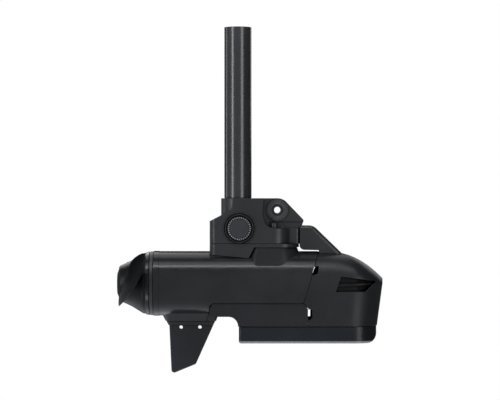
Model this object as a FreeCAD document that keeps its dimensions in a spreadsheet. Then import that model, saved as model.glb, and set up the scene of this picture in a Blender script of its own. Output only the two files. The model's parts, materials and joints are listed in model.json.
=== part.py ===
import FreeCAD, Part
import math
import os
import Sketcher

# Trolling motor: the lower unit of a bow mounted electric outboard with its shaft.
# Frame: +X is forward (nose), +Z is up the shaft, +Y is port. Millimetres.
# The origin is the centre of the shaft's top end. The motor axis runs along X at height motor_z.

SIZES = {
    # shaft and the height of the motor under its top end
    "shaft_d": 38, "shaft_bore": 30, "shaft_length": 302, "motor_z": -358, "seat_z": -238.5,
    "seat_d": 37.2,
    "mount_top": -239, "seam_z": -302.5, "wall": 3, "gap": 0.15, "fit_gap": 0.05, "seam_gap": 0.6,
    # cross bolt and lock knob
    "bolt_x": 2, "bolt_z": -281, "bolt_d": 8, "bolt_hole_d": 8.4, "knob_d": 32.4, "knob_pocket_d": 36.8,
    "ring_d": 45.4, "ring_rise": 1.2, "knob_pocket_depth": 2.2,
    # cables inside
    "harness_x": -8.5, "harness_d": 9, "sonar_x": 10.5, "sonar_d": 7, "cable_way": 9.5,
    "sonar_run_z": -296, "sonar_bend": 12, "sonar_drop_x": 122, "sonar_drop_bend": 17,
    # mount core and its accessory plate
    "sleeve_d": 47, "core_half": 12, "core_rear": -38.7, "core_front": 86.4, "core_front_r": 5,
    "plate_corner_x": 62.6, "plate_nose_x": 92, "plate_nose_z": -269.5, "neck_z": -278.6,
    "accessory_x": 55, "accessory_z": -255.4, "accessory_d": 9,
    "rosette_in": 15, "rosette_out": 32, "rosette_rise": 1.2,
    "flange_half": 24, "flange_t": 5, "flange_front": 53,
    # side covers of the mount
    "cover_half": 28, "cover_rear": -39.2, "cover_front": 72, "cover_front_r": 23.2, "cover_rear_r": 9,
    # base plate, aft skirt and pylon
    "base_t": 4.8, "base_front_x": 57.3, "pylon_rear": 22.7, "pylon_half": 27, "pylon_taper": 22,
    "pylon_front_x": 55.5, "skirt_low_z": -323,
    # motor housing
    "body_r": 45, "bore_r": 38, "belly_r": 41.3, "body_rear": -109.6,
    "seam_top_x": 112.3, "seam_top_z": -313, "seam_low_x": 91.3, "seam_low_z": -384,
    "cover_seam_x": 97.6,
    # lower cover
    "belly_seam_z": -384.6, "belly_rear_x": -36, "belly_half": 35.8, "belly_floor": -416.5,
    "keel_r": 13.2,
    # nose cone
    "hood_start": 124, "hood_end": 208.8, "hood_power": 2.2, "nose_tip": 202.3, "nose_height": 44.4,
    "chin_half": 35.5, "chin_tip": 194.5, "guard_half": 15,
    # transducer pod
    "pod_half": 34.1, "pod_rear": 1.4, "pod_tip": 193.5, "pod_floor": -440.2, "pod_wall": 2.5,
    "toe_r": 15,
    # skeg fairing and fin
    "skeg_rear": -101.2, "skeg_front": -30.5, "skeg_half": 8, "skeg_z": -410.6, "skeg_root_z": -416.5,
    "fin_t": 7, "fin_hole_d": 4.8, "fin_hole_z": -419.3, "fin_hole_x": -66.35, "fin_hole_gap": 26.3,
    "fin_tip_z": -485, "skeg_head_y": 6.6,
    # rear rings
    "cap_rear": -117.3, "anode_rear": -122.9, "ring_rear": -128.4, "neck_r": 36,
    # drive train
    "shaft_r": 6, "thread_r": 5, "bearing_r": 14, "bearing_w": 8, "ball_r": 2.38, "ball_pitch_r": 10,
    "ball_count": 8, "rotor_r": 16, "magnet_r": 20.3, "tooth_r": 21.5, "slot_r": 31,
    "stator_rear": -92, "stator_front": -32, "coil_over": 5, "tooth_w": 6, "tooth_count": 12,
    "magnet_count": 10, "plate_rear": -25.5, "plate_front": -13.8, "bulkhead_rear": 62,
    "bulkhead_front": 74,
    # propeller
    "prop_front": -128.6, "prop_rim": -166.3, "prop_r": 140, "hub_r": 42.5, "pin_x": -140, "pin_d": 5,
}

DOC = FreeCAD.newDocument("trolling_motor")
ORIGIN = FreeCAD.Vector(0, 0, 0)
UP = FreeCAD.Vector(0, 0, 1)
AHEAD = FreeCAD.Vector(1, 0, 0)
PORT = FreeCAD.Vector(0, 1, 0)
REACH = 600


class Size:
    """A length with the sheet expression that it comes from, so one value draws and binds."""

    def __init__(self, value, text):
        self.value = float(value)
        self.text = text

    def __add__(self, other):
        return Size(self.value + number(other), f"({self.text} + {formula(other)})")

    def __radd__(self, other):
        return Size(number(other) + self.value, f"({formula(other)} + {self.text})")

    def __sub__(self, other):
        return Size(self.value - number(other), f"({self.text} - {formula(other)})")

    def __rsub__(self, other):
        return Size(number(other) - self.value, f"({formula(other)} - {self.text})")

    def __mul__(self, other):
        return Size(self.value * number(other), f"({self.text} * {formula(other)})")

    __rmul__ = __mul__

    def __truediv__(self, other):
        return Size(self.value / number(other), f"({self.text} / {formula(other)})")

    def __neg__(self):
        return Size(-self.value, f"(0 - {self.text})")


def number(value):
    return value.value if isinstance(value, Size) else float(value)


def formula(value):
    return value.text if isinstance(value, Size) else repr(float(value))


class Sheet:
    """The spreadsheet of driving sizes; each alias is an attribute that gives its Size."""

    def __init__(self, sizes):
        sheet = DOC.addObject("Spreadsheet::Sheet", "Sizes")
        for row, (alias, value) in enumerate(sizes.items(), start=1):
            sheet.set(f"A{row}", alias)
            sheet.set(f"B{row}", str(value))
            sheet.setAlias(f"B{row}", alias)
            setattr(self, alias, Size(value, f"Sizes.{alias}"))


S = Sheet(SIZES)
DOC.recompute()
PARTS = []


def bind(feature, prop, value):
    """Set a property and, when it comes from the sheet, tie it to its cells."""
    setattr(feature, prop, number(value))
    if isinstance(value, Size):
        feature.setExpression(prop, value.text)


def place(sketch, index, point_id, u, v):
    """Hold a sketch point at (u, v) from the sketch's origin."""
    for kind, value in (("DistanceX", u), ("DistanceY", v)):
        row = sketch.addConstraint(Sketcher.Constraint(kind, -1, 1, index, point_id, number(value)))
        if isinstance(value, Size):
            sketch.setExpression(f"Constraints[{row}]", value.text)


def circle(sketch, u, v, radius):
    centre = FreeCAD.Vector(number(u), number(v), 0)
    index = sketch.addGeometry(Part.Circle(centre, UP, number(radius)), False)
    place(sketch, index, 3, u, v)
    row = sketch.addConstraint(Sketcher.Constraint("Radius", index, number(radius)))
    if isinstance(radius, Size):
        sketch.setExpression(f"Constraints[{row}]", radius.text)


def corner_arc(before, corner, after, radius):
    """Start and end of a rounded corner, its anticlockwise arc, and which arc end is the start."""
    into = (before - corner).normalize()
    out = (after - corner).normalize()
    half = into.getAngle(out) / 2
    start = corner + into * (radius / math.tan(half))
    end = corner + out * (radius / math.tan(half))
    centre = corner + (into + out).normalize() * (radius / math.sin(half))
    turns = [math.atan2(spot.y - centre.y, spot.x - centre.x) for spot in (start, end)]
    forward = (turns[1] - turns[0]) % (2 * math.pi) < math.pi
    low, high = turns if forward else turns[::-1]
    if high < low:
        high += 2 * math.pi
    arc = Part.ArcOfCircle(Part.Circle(centre, UP, radius), low, high)
    return start, end, arc, 1 if forward else 2


def outline(sketch, corners):
    """Closed outline of (u, v) or (u, v, radius) corners; a radius rounds that corner."""
    spots = [FreeCAD.Vector(number(c[0]), number(c[1]), 0) for c in corners]
    count = len(corners)
    arcs = {}
    for i, corner in enumerate(corners):
        if len(corner) == 3:
            arcs[i] = corner_arc(spots[i - 1], spots[i], spots[(i + 1) % count], number(corner[2]))
    lines = []
    for i in range(count):
        j = (i + 1) % count
        start = arcs[i][1] if i in arcs else spots[i]
        end = arcs[j][0] if j in arcs else spots[j]
        lines.append(sketch.addGeometry(Part.LineSegment(start, end), False))
    for i, corner in enumerate(corners):
        if i in arcs:
            round_corner(sketch, lines[i - 1], lines[i], corner, arcs[i])
        else:
            sketch.addConstraint(Sketcher.Constraint("Coincident", lines[i - 1], 2, lines[i], 1))
            place(sketch, lines[i], 1, corner[0], corner[1])


def round_corner(sketch, line_in, line_out, corner, arc_data):
    """Join two lines by a tangent arc whose sharp corner stays held at its place."""
    _, _, arc, first = arc_data
    index = sketch.addGeometry(arc, False)
    sharp = FreeCAD.Vector(number(corner[0]), number(corner[1]), 0)
    held = sketch.addGeometry(Part.Point(sharp), True)
    place(sketch, held, 1, corner[0], corner[1])
    sketch.addConstraint(Sketcher.Constraint("PointOnObject", held, 1, line_in))
    sketch.addConstraint(Sketcher.Constraint("PointOnObject", held, 1, line_out))
    sketch.addConstraint(Sketcher.Constraint("Tangent", line_in, 2, index, first))
    sketch.addConstraint(Sketcher.Constraint("Tangent", index, 3 - first, line_out, 1))
    row = sketch.addConstraint(Sketcher.Constraint("Radius", index, number(corner[2])))
    if isinstance(corner[2], Size):
        sketch.setExpression(f"Constraints[{row}]", corner[2].text)


def rectangle(sketch, u_low, v_low, u_high, v_high):
    outline(sketch, [(u_low, v_low), (u_high, v_low), (u_high, v_high), (u_low, v_high)])


class Piece:
    """One sub-part as a PartDesign body, with short calls for its sketches and features."""

    def __init__(self, label, keep=True):
        self.body = DOC.addObject("PartDesign::Body", label)
        self.body.Label = label
        if keep:
            PARTS.append(self.body)

    def datum(self, role):
        return next(f for f in self.body.Origin.OriginFeatures if f.Role == role)

    def sketch(self, plane, offset=None):
        """A sketch on an origin plane: XY looks down, XZ has its normal to starboard, YZ ahead."""
        sketch = self.body.newObject("Sketcher::SketchObject", f"{self.body.Label}_sketch")
        sketch.AttachmentSupport = (self.datum(f"{plane}_Plane"), [""])
        sketch.MapMode = "FlatFace"
        if offset is not None:
            sketch.AttachmentOffset = FreeCAD.Placement(UP * number(offset), FreeCAD.Rotation())
            if isinstance(offset, Size):
                sketch.setExpression("AttachmentOffset.Base.z", offset.text)
        return sketch

    def feature(self, kind):
        return self.body.newObject(f"PartDesign::{kind}", f"{self.body.Label}_{kind.lower()}")

    def extrude(self, kind, sketch, length, both, back, taper):
        feature = self.feature(kind)
        feature.Profile = sketch
        bind(feature, "Length", length)
        if both:
            feature.SideType = "Symmetric"
        feature.Reversed = back
        if taper is not None:
            bind(feature, "TaperAngle", taper)
        return self.tip(feature)

    def pad(self, sketch, length, both=False, back=False, taper=None):
        return self.extrude("Pad", sketch, length, both, back, taper)

    def cut(self, sketch, length=REACH, both=False, back=False, taper=None):
        return self.extrude("Pocket", sketch, length, both, back, taper)

    def turn(self, kind, sketch, axis):
        feature = self.feature(kind)
        feature.Profile = sketch
        feature.ReferenceAxis = (sketch, [axis])
        feature.Angle = 360
        return self.tip(feature)

    def revolve(self, corners, plane="XZ", drop=True):
        """Turn an outline of (along, radius) corners about X; the motor axis when drop is set."""
        sketch = self.sketch(plane)
        outline(sketch, corners)
        self.turn("Revolution", sketch, "H_Axis")
        if drop:
            self.drop()

    def drop(self):
        """Move a body drawn about X onto the motor axis."""
        self.body.Placement = FreeCAD.Placement(UP * S.motor_z.value, FreeCAD.Rotation())
        self.body.setExpression("Placement.Base.z", S.motor_z.text)

    def loft(self, low, high):
        feature = self.feature("AdditiveLoft")
        feature.Profile = low
        feature.Sections = [high]
        return self.tip(feature)

    def around(self, originals, count, axis="X_Axis"):
        feature = self.feature("PolarPattern")
        feature.Originals = originals
        feature.Axis = (self.datum(axis), [""])
        feature.Angle = 360
        feature.Occurrences = int(number(count))
        if isinstance(count, Size):
            feature.setExpression("Occurrences", count.text)
        return self.tip(feature)

    def soften(self, kind, size, chosen):
        """Fillet or chamfer the edges of the tip that the test picks."""
        DOC.recompute()
        base = self.body.Tip
        names = [f"Edge{i}" for i, e in enumerate(base.Shape.Edges, start=1) if chosen(e)]
        if not names:
            raise ValueError(f"{self.body.Label}: no edge to {kind}")
        feature = self.feature(kind)
        feature.Base = (base, names)
        bind(feature, "Radius" if kind == "Fillet" else "Size", size)
        return self.tip(feature)

    def tip(self, feature):
        self.body.Tip = feature
        return feature


def middle(edge):
    return edge.valueAt((edge.FirstParameter + edge.LastParameter) / 2)


# ---------------------------------------------------------------- shaft and mount

def shaft_tube():
    """The tube, turned down a little where it sits in the mount."""
    piece = Piece("shaft_tube")
    ring = piece.sketch("XY")
    circle(ring, 0, 0, S.shaft_d / 2)
    circle(ring, 0, 0, S.shaft_bore / 2)
    piece.pad(ring, -S.seat_z, back=True)
    seat = piece.sketch("XY", S.seat_z)
    circle(seat, 0, 0, S.seat_d / 2)
    circle(seat, 0, 0, S.shaft_bore / 2)
    piece.pad(seat, S.shaft_length + S.seat_z, back=True)
    bolt = piece.sketch("XZ")
    circle(bolt, S.bolt_x, S.bolt_z, S.bolt_hole_d / 2)
    piece.cut(bolt, S.shaft_d * 2, both=True)
    slot = piece.sketch("YZ")
    rectangle(slot, -S.cable_way / 2, -S.shaft_length - 1, S.cable_way / 2, -S.shaft_length + 16)
    piece.cut(slot, S.shaft_d, back=True)
    inner_rim = S.shaft_bore.value + 1
    piece.soften(
        "Chamfer", 0.8, lambda e: abs(e.BoundBox.ZMin) < 1e-6 and e.BoundBox.XLength < inner_rim)


def mount_core():
    piece = Piece("mount_core")
    sleeve = piece.sketch("XY", S.mount_top)
    circle(sleeve, 0, 0, S.sleeve_d / 2)
    piece.pad(sleeve, S.mount_top - S.seam_z, back=True)
    block = piece.sketch("XY", S.seam_z)
    outline(block, [
        (S.core_rear, -S.core_half), (S.core_front, -S.core_half, S.core_front_r),
        (S.core_front, S.core_half, S.core_front_r), (S.core_rear, S.core_half)])
    piece.pad(block, S.neck_z - 2 - S.seam_z)
    spine = piece.sketch("XZ")
    outline(spine, [
        (S.core_rear, S.neck_z - 2.5), (S.core_rear, S.mount_top - 34, 3), (-20, S.mount_top - 25),
        (0, S.mount_top - 25), (0, S.mount_top), (S.plate_corner_x, S.mount_top, 17),
        (S.plate_nose_x, S.plate_nose_z, 3), (S.plate_nose_x - 3.2, S.neck_z, 1.5),
        (S.core_front - 0.3, S.neck_z), (S.core_front - 0.3, S.neck_z - 2.5)])
    piece.pad(spine, S.core_half * 2, both=True)
    foot = piece.sketch("XY", S.seam_z)
    rectangle(foot, S.core_rear + 4, -S.flange_half, S.flange_front, S.flange_half)
    piece.pad(foot, S.flange_t)
    neck_grooves(piece)
    rosettes(piece)
    bores_of_core(piece)


def neck_grooves(piece):
    """Thin the neck under the plate, so the plate stands proud of it."""
    for side in (1, -1):
        neck = piece.sketch("XZ", S.core_half * side)
        rectangle(neck, S.accessory_x - 11, S.neck_z - 2.4, S.plate_nose_x + 5, S.plate_nose_z - 2)
        piece.cut(neck, 2.2, back=side < 0)


def rosettes(piece):
    """Raised rings of radial teeth round the accessory hole, one on each face."""
    for side in (1, -1):
        ring = piece.sketch("XZ", S.core_half * side)
        circle(ring, S.accessory_x, S.accessory_z, S.rosette_out / 2)
        circle(ring, S.accessory_x, S.accessory_z, S.rosette_in / 2)
        piece.pad(ring, S.rosette_rise, back=side < 0)
    teeth = 36
    notch = piece.sketch("XZ")
    for i in range(teeth):
        turn = 2 * math.pi * i / teeth
        radial_notch(notch, turn, number(S.rosette_in) / 2 + 0.4, number(S.rosette_out) / 2 - 0.4)
    for side in (1, -1):
        face = notch if side > 0 else DOC.copyObject(notch)
        if side < 0:
            piece.body.addObject(face)
        face.AttachmentOffset = FreeCAD.Placement(
            UP * ((number(S.core_half) + number(S.rosette_rise)) * side), FreeCAD.Rotation())
        piece.cut(face, 0.9, back=side < 0)


def radial_notch(sketch, turn, inner, outer):
    """A narrow kite along a radius of the rosette, drawn in place."""
    centre = FreeCAD.Vector(S.accessory_x.value, S.accessory_z.value, 0)
    along = FreeCAD.Vector(math.cos(turn), math.sin(turn), 0)
    across = FreeCAD.Vector(-math.sin(turn), math.cos(turn), 0)
    corners = [
        centre + along * inner - across * 0.3, centre + along * outer - across * 0.75,
        centre + along * outer + across * 0.75, centre + along * inner + across * 0.3]
    for i in range(4):
        sketch.addGeometry(Part.LineSegment(corners[i], corners[(i + 1) % 4]), False)


def bores_of_core(piece):
    bore = piece.sketch("XY")
    circle(bore, 0, 0, S.seat_d / 2 + S.fit_gap)
    piece.cut(bore)
    cross = piece.sketch("XZ")
    circle(cross, S.bolt_x, S.bolt_z, S.bolt_hole_d / 2)
    circle(cross, S.accessory_x, S.accessory_z, S.accessory_d / 2)
    piece.cut(cross, both=True)
    channel = piece.sketch("YZ")
    low = S.sonar_run_z - S.cable_way / 2
    rectangle(channel, -S.cable_way / 2, low, S.cable_way / 2, low + S.cable_way)
    piece.cut(channel, S.core_front + 20, back=True)
    bolts = piece.sketch("XY")
    for x, y in mount_bolt_places():
        circle(bolts, x, y, 3.25)
    piece.cut(bolts)


def mount_bolt_places():
    return [(x, y * side) for x, y in ((-27, 19.5), (44, 19.5)) for side in (1, -1)]


def mount_cover(name, side):
    """Side cheek of the mount; side is 1 to port and -1 to starboard."""
    piece = Piece(name)
    inner = (S.core_half + S.gap) * side
    outer = S.cover_half * side
    plan = piece.sketch("XY", S.seam_z + S.seam_gap)
    cheek_plan(plan, inner, outer, side)
    piece.pad(plan, S.mount_top - S.seam_z)
    above = piece.sketch("XZ")
    outline(above, [
        (S.cover_rear - 5, S.bolt_z + 10.2), (S.cover_rear, S.bolt_z + 10.2),
        (S.bolt_x - 26.5, S.bolt_z + 17.8),
        (S.bolt_x - 10, S.bolt_z + 27.2), (S.bolt_x - 8, S.mount_top), (S.bolt_x + 34, S.mount_top),
        (S.bolt_x + 32, S.bolt_z + 19), (S.bolt_x + 36.5, S.bolt_z + 3.5, 12),
        (S.cover_front - 22, S.bolt_z, 6),
        (S.cover_front + 5, S.bolt_z - 0.6), (S.cover_front + 5, S.mount_top + 5),
        (S.cover_rear - 5, S.mount_top + 5)])
    piece.cut(above, both=True)
    cheek_ring(piece, side)
    cheek_bosses(piece, side)
    cheek_hollows(piece, side, inner)


def cheek_plan(plan, inner, outer, side):
    """Plan of a cheek: square tail with a rounded corner, and a long arc at the front."""
    arc_start = S.cover_front - 22
    centre_v = outer - S.cover_front_r * side
    drop = number(S.cover_front) - number(arc_start)
    radius = number(S.cover_front_r)
    swing = math.asin(drop / radius)
    centre = FreeCAD.Vector(number(arc_start), number(centre_v), 0)
    end = centre + FreeCAD.Vector(drop, math.cos(swing) * radius * side, 0)
    mid = centre + FreeCAD.Vector(math.sin(swing / 2) * radius, math.cos(swing / 2) * radius * side, 0)
    tail = FreeCAD.Vector(number(S.cover_rear), number(outer), 0)
    tail_in = FreeCAD.Vector(number(S.cover_rear), number(inner), 0)
    front_out = FreeCAD.Vector(number(arc_start), number(outer), 0)
    front_in = FreeCAD.Vector(end.x, number(inner), 0)
    start, stop, corner, _ = corner_arc(tail_in, tail, front_out, number(S.cover_rear_r))
    for curve in (
            Part.LineSegment(tail_in, start), corner, Part.LineSegment(stop, front_out),
            Part.Arc(front_out, mid, end), Part.LineSegment(end, front_in),
            Part.LineSegment(front_in, tail_in)):
        plan.addGeometry(curve, False)
    for i in range(6):
        plan.addConstraint(Sketcher.Constraint("Block", i))


def cheek_ring(piece, side):
    """Raised lip round the lock knob, a groove inside it, and the knob's own pocket."""
    face = -(S.cover_half + S.ring_rise) * side
    lip = piece.sketch("XZ", -S.cover_half * side)
    circle(lip, S.bolt_x, S.bolt_z, S.ring_d / 2)
    piece.pad(lip, S.ring_rise, back=side > 0)
    groove = piece.sketch("XZ", face)
    circle(groove, S.bolt_x, S.bolt_z, S.ring_d / 2 - 1.2)
    circle(groove, S.bolt_x, S.bolt_z, S.knob_pocket_d / 2 + 1.3)
    piece.cut(groove, S.ring_rise + 0.6, back=side > 0)
    pocket = piece.sketch("XZ", face)
    circle(pocket, S.bolt_x, S.bolt_z, S.knob_pocket_d / 2)
    piece.cut(pocket, S.ring_rise + S.knob_pocket_depth, back=side > 0)
    overhang = piece.sketch("XZ")
    rectangle(overhang, S.bolt_x - 20, S.seam_z - 5, S.bolt_x + 20, S.seam_z + S.seam_gap)
    piece.cut(overhang, both=True)


def cheek_bosses(piece, side):
    """Two fixing bosses that stand up from the ledge beside the accessory plate."""
    for x, y, radius, rise in ((50.4, 19, 5, 7.2), (62, 20.5, 2.3, 1.8)):
        boss = piece.sketch("XY", S.bolt_z - 2)
        circle(boss, x, y * side, radius)
        piece.pad(boss, rise + 2)
    recess = piece.sketch("XY", S.bolt_z + 7.2)
    outline(recess, hexagon(50.4, 19 * side, 2.9))
    piece.cut(recess, 3)


def cheek_hollows(piece, side, inner):
    sleeve = piece.sketch("XY")
    circle(sleeve, 0, 0, S.sleeve_d / 2 + S.gap)
    piece.cut(sleeve)
    hollow = piece.sketch("XY", S.seam_z)
    outer = (S.cover_half - S.wall) * side
    low, high = (outer, inner - side) if side < 0 else (inner - side, outer)
    rectangle(hollow, S.cover_rear + 4, low, S.flange_front + 1, high)
    piece.cut(hollow, 14, back=True)
    bolt = piece.sketch("XZ")
    circle(bolt, S.bolt_x, S.bolt_z, S.bolt_hole_d / 2)
    piece.cut(bolt, both=True)


def mount_base():
    piece = Piece("mount_base")
    plan = piece.sketch("XY", S.seam_z)
    outline(plan, [
        (S.cover_rear, -S.cover_half, S.cover_rear_r),
        (S.base_front_x + S.cover_half, -S.cover_half, 27.9),
        (S.base_front_x + S.cover_half, S.cover_half, 27.9),
        (S.cover_rear, S.cover_half, S.cover_rear_r)])
    piece.pad(plan, S.seam_z - S.skirt_low_z, back=True)
    under = piece.sketch("XZ")
    shelf = S.seam_z - S.base_t
    outline(under, [
        (S.pylon_rear, shelf), (S.base_front_x + 40, shelf), (S.base_front_x + 40, S.skirt_low_z - 5),
        (S.cover_rear - 5, S.skirt_low_z - 5), (S.cover_rear - 5, shelf - 9.3),
        (S.pylon_rear - 7.7, shelf - 15)])
    piece.cut(under, both=True)
    saddle = piece.sketch("YZ")
    circle(saddle, 0, S.motor_z, S.body_r + 0.4)
    piece.cut(saddle, both=True)
    holes = piece.sketch("XY")
    circle(holes, S.harness_x, 0, 7.05)
    for x, y in mount_bolt_places():
        circle(holes, x, y, 3.25)
    piece.cut(holes)


def screw(piece, x, y, z, shank_r, head_r, head_h, length):
    """A socket screw pointing down: head on z, shank below it."""
    shank = piece.sketch("XY", z)
    circle(shank, x, y, shank_r)
    piece.pad(shank, length, back=True)
    head = piece.sketch("XY", z)
    circle(head, x, y, head_r)
    piece.pad(head, head_h)
    socket = piece.sketch("XY", z + head_h)
    outline(socket, hexagon(x, y, head_r * 0.5))
    piece.cut(socket, head_h * 0.55)


def hexagon(u, v, radius):
    turns = [math.pi / 3 * i for i in range(6)]
    return [(u + math.cos(t) * number(radius), v + math.sin(t) * number(radius)) for t in turns]


def mount_bolts():
    piece = Piece("mount_bolts")
    for x, y in mount_bolt_places():
        screw(piece, x, y, S.seam_z + S.flange_t, 3, 5, 5, 24)


def lock_bolt():
    piece = Piece("lock_bolt")
    head_y = S.cover_half - S.knob_pocket_depth
    shank = piece.sketch("XZ", -head_y)
    circle(shank, S.bolt_x, S.bolt_z, S.bolt_d / 2)
    piece.pad(shank, head_y * 2 + 7)
    head = piece.sketch("XZ", -head_y)
    outline(head, hexagon(S.bolt_x, S.bolt_z, 7.5))
    piece.pad(head, 5.3, back=True)
    rim = piece.sketch("XZ", -head_y)
    circle(rim, S.bolt_x, S.bolt_z, S.knob_d / 2 - 3)
    piece.pad(rim, 1.6, back=True)


def knob_washer():
    piece = Piece("knob_washer")
    ring = piece.sketch("XZ", S.cover_half - S.knob_pocket_depth)
    circle(ring, S.bolt_x, S.bolt_z, S.knob_d / 2 - 2)
    circle(ring, S.bolt_x, S.bolt_z, S.bolt_d / 2 + S.fit_gap)
    piece.pad(ring, 1.2)


def lock_knob():
    piece = Piece("lock_knob")
    face = S.cover_half - S.knob_pocket_depth + 1.2
    disc = piece.sketch("XZ", face)
    circle(disc, 0, 0, S.knob_d / 2)
    circle(disc, 0, 0, S.bolt_d / 2 + S.fit_gap)
    piece.pad(disc, 5.5)
    crown = piece.sketch("XZ", face + 5.5)
    circle(crown, 0, 0, S.knob_d / 2 - 3)
    piece.pad(crown, 0.9)
    flute = piece.sketch("XZ", face + 5.5)
    rectangle(flute, S.knob_d / 2 - 2.4, -0.55, S.knob_d / 2 + 1, 0.55)
    notch = piece.cut(flute, 2)
    piece.around([notch], 32, "Y_Axis")
    well = piece.sketch("XZ", face)
    circle(well, 0, 0, S.bolt_d / 2 + S.fit_gap)
    piece.cut(well, 6.2, back=True)
    piece.body.Placement = FreeCAD.Placement(
        FreeCAD.Vector(S.bolt_x.value, 0, S.bolt_z.value), FreeCAD.Rotation())
    piece.body.setExpression("Placement.Base.x", S.bolt_x.text)
    piece.body.setExpression("Placement.Base.z", S.bolt_z.text)
    return piece


# ---------------------------------------------------------------- housing, lower cover

def skeg_fairing(piece):
    """The flared foot that carries the skeg, lofted up into the round housing."""
    foot = piece.sketch("XY", S.skeg_z)
    outline(foot, [
        (S.skeg_rear, -S.skeg_half, 7.9), (S.skeg_front, -S.skeg_half, 7.9),
        (S.skeg_front, S.skeg_half, 7.9), (S.skeg_rear, S.skeg_half, 7.9)])
    root = piece.sketch("XY", S.skeg_z + 16)
    wide = S.skeg_half + 14
    outline(root, [
        (S.skeg_rear - 8, -wide, 20), (S.skeg_front + 6, -wide, 20),
        (S.skeg_front + 6, wide, 20), (S.skeg_rear - 8, wide, 20)])
    piece.loft(foot, root)


def belly_outline(sketch, shift):
    """Side outline of the lower cover's seam; shift moves it outwards."""
    outline(sketch, [
        (S.belly_rear_x - 8.5 - shift, S.skeg_z - 2),
        (S.belly_rear_x - shift, S.belly_seam_z + shift, 6),
        (S.seam_low_x - 0.5, S.belly_seam_z + shift), (S.cover_seam_x - 0.6, S.belly_seam_z - 8),
        (S.cover_seam_x - 0.6, S.belly_floor), (S.belly_rear_x - 8.5 - shift, S.belly_floor)])


def seam_cut(piece):
    """Trim everything ahead of the slanted nose seam, with its notch."""
    ahead = piece.sketch("XZ")
    rake = (S.seam_top_x - S.seam_low_x) / (S.seam_top_z - S.seam_low_z)
    top_x = S.seam_top_x - S.seam_gap + rake * 20
    low_x = S.seam_low_x - S.seam_gap - rake * 40
    outline(ahead, [
        (top_x, S.seam_top_z + 20), (top_x + 60, S.seam_top_z + 20), (top_x + 60, S.seam_low_z - 40),
        (low_x, S.seam_low_z - 40)])
    piece.cut(ahead, both=True)


def motor_housing():
    piece = Piece("motor_housing")
    barrel = piece.sketch("YZ", S.body_rear)
    circle(barrel, 0, S.motor_z, S.body_r)
    piece.pad(barrel, S.seam_top_x - S.body_rear + 2)
    skeg_fairing(piece)
    belly = piece.sketch("XZ")
    belly_outline(belly, S.seam_gap)
    piece.cut(belly, both=True)
    core = piece.sketch("YZ", S.belly_rear_x - 20)
    circle(core, 0, S.motor_z, S.belly_r)
    piece.pad(core, S.cover_seam_x - S.belly_rear_x + 15)
    pylon(piece)
    bore = piece.sketch("YZ", S.body_rear)
    circle(bore, 0, S.motor_z, S.bore_r)
    piece.cut(bore, back=True)
    seam_cut(piece)
    notch = piece.sketch("XZ")
    outline(notch, [(S.seam_top_x - 9.8, S.motor_z + 11), (S.seam_top_x + 6, S.motor_z + 11),
                    (S.seam_top_x + 6, S.motor_z + 25), (S.seam_top_x - 6.6, S.motor_z + 25)])
    piece.cut(notch, both=True)
    holes = piece.sketch("XY", S.seam_z)
    circle(holes, S.harness_x, 0, 5.05)
    for x, y in mount_bolt_places():
        circle(holes, x, y, 3)
    piece.cut(holes, 22)
    fixings = piece.sketch("YZ", S.body_rear)
    for y, z in cap_screw_places():
        circle(fixings, y, S.motor_z + z, 2)
    piece.cut(fixings, 16, back=True)
    slot = piece.sketch("XZ")
    rectangle(slot, S.skeg_rear + 13, S.skeg_z - 1, S.belly_rear_x - 14, S.skeg_z + 7)
    piece.cut(slot, 5.1, both=True)
    skeg_screw_holes(piece)


def pylon(piece):
    """The tapered foot that stands up from the housing and meets the base plate."""
    top = piece.sketch("XY", S.seam_z - S.base_t - 0.1)
    outline(top, [
        (S.pylon_rear, -S.pylon_half, 5), (S.pylon_front_x + S.pylon_half, -S.pylon_half, 26.9),
        (S.pylon_front_x + S.pylon_half, S.pylon_half, 26.9), (S.pylon_rear, S.pylon_half, 5)])
    piece.pad(top, 26, back=True, taper=S.pylon_taper)


def cap_screw_places():
    radius = 41.5
    turns = [math.pi / 4 + math.pi / 2 * i for i in range(4)]
    return [(radius * math.cos(t), radius * math.sin(t)) for t in turns]


def skeg_screw_places():
    return [(S.skeg_rear + 20, S.skeg_z + 3.4), (S.belly_rear_x - 20, S.skeg_z + 3.4)]


def skeg_screw_holes(piece):
    """Shank holes from the centre plane to port, with a counterbore for each head."""
    holes = piece.sketch("XZ")
    heads = piece.sketch("XZ", -S.skeg_head_y)
    for x, z in skeg_screw_places():
        circle(holes, x, z, 1.5)
        circle(heads, x, z, 2.8)
    piece.cut(holes, 40)
    piece.cut(heads, 40)


def belly_form():
    """Outer form of the lower cover before it is cut to its seam; not a piece of its own."""
    piece = Piece("belly_form", keep=False)
    barrel = piece.sketch("YZ", S.belly_rear_x - 12)
    circle(barrel, 0, S.motor_z, S.body_r)
    piece.pad(barrel, S.cover_seam_x - S.belly_rear_x + 20)
    keel = piece.sketch("XZ")
    front = S.cover_seam_x + 4
    low = S.belly_floor
    outline(keel, [
        (front, low - 12), (front, S.belly_seam_z - 1), (-40, S.belly_seam_z - 1),
        (-40, low + S.keel_r + 0.2),
        (0.3, low + S.keel_r + 0.2, S.keel_r), (0.3, low - 12)])
    piece.pad(keel, S.belly_half * 2, both=True)
    skeg_fairing(piece)
    return piece.body


def prism(label, draw, width):
    """Side view outline extruded both ways; a tool for the booleans."""
    piece = Piece(label, keep=False)
    sketch = piece.sketch("XZ")
    draw(sketch)
    piece.pad(sketch, width, both=True)
    return piece


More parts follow.
